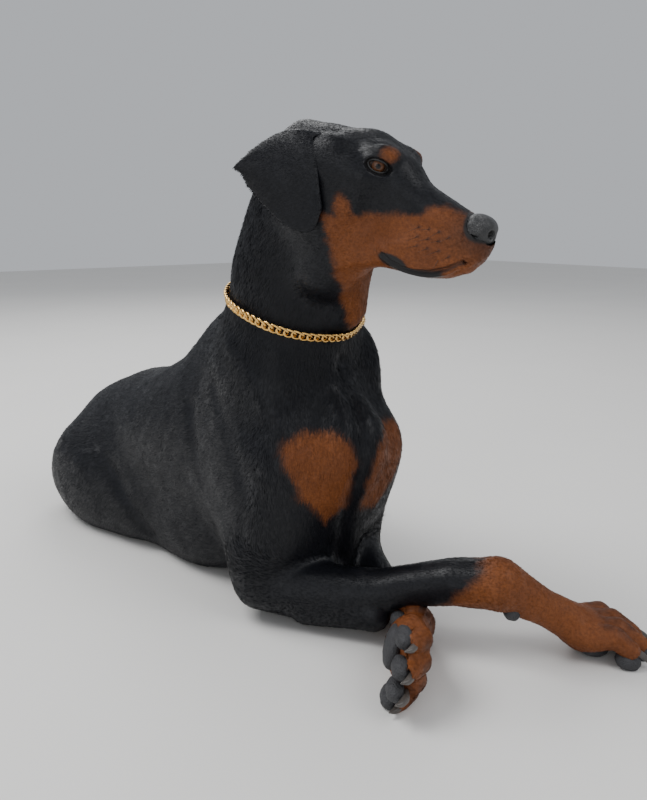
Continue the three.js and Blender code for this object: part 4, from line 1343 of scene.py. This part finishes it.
class DOG_OT_pads(bpy.types.Operator):
    """Makes the leathery pads of the forefeet"""

    bl_idname = "dog.pads"
    bl_label = "Pads"

    def execute(self, context):
        settings = context.scene.dog_details
        m = Shader("pad leather", Roughness=0.62, Specular_IOR_Level=0.35)
        cells = m.add("ShaderNodeTexVoronoi", {"feature": "F1"}, Scale=700.0,
                      Vector=m.add("ShaderNodeTexCoord").outputs["Object"])
        grain = m.math("SUBTRACT", 1.0, cells.outputs["Distance"])
        colour = m.mix(m.noise(160, 4), shade(settings.pad, 0.6), shade(settings.pad, 1.5))
        m.set("Base Color", colour)
        m.bump(grain, 0.0009, 0.8)
        bm = bmesh.new()
        nodes = []
        for name, place in PAWS.items():
            if not name.startswith("front"):
                continue
            wrist = to_place(wrist_of(name), place)
            spots = [
                ((t["reach"] - 9, t["y"] + t["splay"], -8), (12, 8.5, 8), str(i))
                for i, t in enumerate(TOES, 1)
            ]
            spots.append(((2, 0, -10), (17, 19, 8), "middle"))
            spots.append((tuple(wrist + (14, -6, -22)), (8.5, 8, 9), "wrist"))
            for at, size, label in spots:
                made = bmesh.ops.create_icosphere(bm, subdivisions=4, radius=1)
                ball = np.array([v.co for v in made["verts"]])
                q = np.sign(ball) * np.abs(ball) ** 0.9 * np.array(size) * 1.01
                q += ball * (waves(q, 7, 5) * 0.35)[:, None]
                if label == "middle":
                    q[:, 0] -= 3.5 * (np.abs(q[:, 1]) / size[1]) ** 2
                p = from_place(q + at, place)
                p[:, 2] = np.maximum(p[:, 2], 0)
                for v, place_now in zip(made["verts"], to_metres(p)):
                    v.co = Vector(place_now)
                nodes.append(f"pad_{name}_{label}")
        pads = new_object("pads", mesh_of(bm, "pads"), m.material)
        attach(pads, "root")
        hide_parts(*nodes)
        return {"FINISHED"}


class DOG_OT_collar(bpy.types.Operator):
    """Makes the gold curb chain round the neck"""

    bl_idname = "dog.collar"
    bl_label = "Chain collar"

    def execute(self, context):
        settings = context.scene.dog_details
        m = Shader("gold", Metallic=1.0, Roughness=0.2)
        wear = m.noise(260, 4)
        m.set("Base Color", m.mix(wear, shade(settings.gold, 0.72), shade(settings.gold, 1.12)))
        m.set("Roughness", m.ramp(wear, 0.3, 0.7, 0.14, 0.32))
        m.bump(m.noise(900, 2), 0.0002, 0.3)
        wire = settings.wire / MM
        turns = np.linspace(0, 2 * math.pi, 361)[:-1]
        reach = np.arange(135, 25, -0.5)
        line = []
        for turn in turns:
            ray = np.stack([reach * math.cos(turn), reach * math.sin(turn), np.zeros(len(reach))], 1)
            inside = np.nonzero(BODY(from_place(ray, RING)) <= 0)[0]
            r = reach[inside[0]] + wire + CURB["clearance"]
            line.append((r * math.cos(turn), r * math.sin(turn), 1.2 * math.sin(3 * turn)))
        line = np.array(line)
        steps = np.linalg.norm(np.roll(line, -1, 0) - line, axis=1)
        run = np.concatenate([[0], np.cumsum(steps)])
        ring = np.vstack([line, line[:1]])
        links = settings.links
        spots = np.arange(links) * run[-1] / links

        def along_ring(distance):
            return np.stack([np.interp(distance % run[-1], run, ring[:, c]) for c in range(3)], -1)

        pitch = run[-1] / links
        half_long, half_wide = pitch * CURB["half_long"], CURB["half_wide"]
        rounds, around = CURB["rounds"], CURB["around"]
        stacks = []
        for spot in spots:
            middle = along_ring(spot)
            along = unit(along_ring(spot + 2) - along_ring(spot - 2))
            out = unit(np.array((middle[0], middle[1], 0)))
            out = unit(out - along * (out @ along))
            wide = np.cross(out, along)
            lean = math.radians(CURB["lean"])
            flat = wide * math.cos(lean) + out * math.sin(lean)
            face = np.cross(along, flat)
            a = np.linspace(0, 2 * math.pi, rounds, endpoint=False)[:, None]
            centre = middle + along * half_long * np.cos(a) + flat * (half_wide - wire) * np.sin(a)
            centre = centre + face * CURB["twist"] * np.sin(2 * a)
            way = unit(np.roll(centre, -1, 0) - np.roll(centre, 1, 0))
            side = unit(np.cross(way, face))
            top = np.cross(side, way)
            b = np.linspace(0, 2 * math.pi, around, endpoint=False)
            stacks.append(centre[:, None] + wire * (
                side[:, None] * np.cos(b)[:, None] + top[:, None] * np.sin(b)[:, None]))
        points = from_place(np.array(stacks).reshape(-1, 3), RING)
        one = ring_faces(rounds, around, True)
        faces = (one[None] + np.arange(links)[:, None, None] * rounds * around).reshape(-1, 4)
        mesh = mesh_from("collar_links", to_metres(points), faces)
        fix_normals(mesh)
        collar = new_object("collar_links", mesh, m.material)
        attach(collar, "root")
        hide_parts("collar_chain")
        return {"FINISHED"}


class DOG_OT_whiskers(bpy.types.Operator):
    """Makes the whiskers of the muzzle, brows and cheeks"""

    bl_idname = "dog.whiskers"
    bl_label = "Whiskers"

    def execute(self, context):
        m = Shader("whisker", Roughness=0.35)
        m.set("Base Color", m.mix(m.noise(300), (0.006, 0.005, 0.005, 1), (0.02, 0.016, 0.014, 1)))
        rng = np.random.default_rng(5)
        roots = [(x, z, (-0.45, 0.7, -0.4), 11) for x, z in WHISKERS]
        roots += [
            (-30, -58, (-0.4, 0.9, -0.3), 15), (10, 24, (0.2, 0.35, 0.9), 12),
            (90, -60, (0.2, 0.5, -0.85), 10),
        ]
        stacks = []
        for s in (1, -1):
            for x, z, way, long in roots:
                side = side_of_skull(x, z)
                if not side:
                    continue
                root = np.array((x, s * (side - 1.5), z))
                way = unit(np.array(way) * (1, s, 1) + rng.normal(0, 0.14, 3))
                size = long * rng.uniform(0.6, 1.15)
                droop = np.array((-0.25, 0, -0.3)) * size
                line = [root, root + way * size * 0.5 + droop * 0.15, root + way * size + droop * 0.6]
                rings = horn(line, (0.24, 0.16, 0.05), 4, 6)
                stacks.append(from_place(rings.reshape(-1, 3), HEAD).reshape(-1, 4, 3))
        whiskers = tubes("whiskers", stacks, m.material)
        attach(whiskers, "root")
        return {"FINISHED"}


class DOG_OT_stage(bpy.types.Operator):
    """Makes the floor, the lights and the camera"""

    bl_idname = "dog.stage"
    bl_label = "Stage"

    def execute(self, context):
        settings = context.scene.dog_stage
        bm = bmesh.new()
        bmesh.ops.create_grid(bm, x_segments=1, y_segments=1, size=6)
        m = Shader("floor", Roughness=0.85)
        m.set("Base Color", m.mix(m.noise(3, 2), shade(settings.floor, 0.97), shade(settings.floor, 1.03)))
        floor = new_object("floor", mesh_of(bm, "floor"), m.material)
        floor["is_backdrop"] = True
        lights = (
            ((-0.9, -1.4, 2.4), 1.5, 66),
            ((1.9, 0.5, 1.9), 1.4, 20),
            ((1.4, -2.2, 0.9), 1.6, 10),
            ((-2.0, 0.9, 2.2), 1.6, 26),
        )
        aim = Vector((0.05, -0.05, 0.22))
        for i, (at, size, power) in enumerate(lights):
            light = bpy.data.lights.new(f"softbox_{i + 1}", "AREA")
            light.size = size
            light.energy = power
            obj = bpy.data.objects.new(light.name, light)
            obj.location = at
            obj.rotation_euler = (aim - Vector(at)).to_track_quat("-Z", "Y").to_euler()
            context.scene.collection.objects.link(obj)
        world = bpy.data.worlds.new("studio")
        world.use_nodes = True
        world.node_tree.nodes["Background"].inputs[0].default_value = (0.92, 0.95, 1.0, 1)
        world.node_tree.nodes["Background"].inputs[1].default_value = 0.55
        context.scene.world = world
        camera = bpy.data.cameras.new("camera")
        camera.lens = settings.lens
        camera.sensor_width = 36
        camera.shift_y = -0.2225
        eye = np.array((767.7, -516.5, 433)) * MM + OFFSET
        obj = bpy.data.objects.new("camera", camera)
        obj.location = eye
        way = Vector((-0.788, 0.6157, 0))
        obj.rotation_euler = way.to_track_quat("-Z", "Y").to_euler()
        context.scene.collection.objects.link(obj)
        context.scene.camera = obj
        return {"FINISHED"}


OPERATORS = (
    DOG_OT_skin, DOG_OT_coat, DOG_OT_eyes, DOG_OT_nose, DOG_OT_claws, DOG_OT_pads, DOG_OT_collar,
    DOG_OT_whiskers, DOG_OT_stage,
)
GROUPS = {"dog_skin": SkinSettings, "dog_details": DetailSettings, "dog_stage": StageSettings}


class DOG_PT_panel(bpy.types.Panel):
    """Lists the dog's pieces and their settings"""

    bl_idname = "DOG_PT_panel"
    bl_label = "Resting Doberman"
    bl_space_type = "VIEW_3D"
    bl_region_type = "UI"
    bl_category = "Dog"

    def draw(self, context):
        for name in GROUPS:
            group = getattr(context.scene, name)
            for key in group.__annotations__:
                self.layout.prop(group, key)
        for operator in OPERATORS:
            self.layout.operator(operator.bl_idname)


def register():
    for kind in (*GROUPS.values(), *OPERATORS, DOG_PT_panel):
        bpy.utils.register_class(kind)
    for name, kind in GROUPS.items():
        setattr(bpy.types.Scene, name, bpy.props.PointerProperty(type=kind))


def unregister():
    for name in GROUPS:
        delattr(bpy.types.Scene, name)
    for kind in (DOG_PT_panel, *reversed(OPERATORS), *GROUPS.values()):
        bpy.utils.unregister_class(kind)


def corners(bounds):
    return [[float(v) for v in corner] for corner in bounds]


def main():
    """Builds every piece in order."""
    before = corners(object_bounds())
    register()
    bpy.ops.dog.skin()
    bpy.ops.dog.coat()
    bpy.ops.dog.eyes()
    bpy.ops.dog.nose()
    bpy.ops.dog.claws()
    bpy.ops.dog.pads()
    bpy.ops.dog.collar()
    bpy.ops.dog.whiskers()
    bpy.ops.dog.stage()
    {"cad": before, "dressed": corners(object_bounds())}


if __name__ == "__main__":
    main()
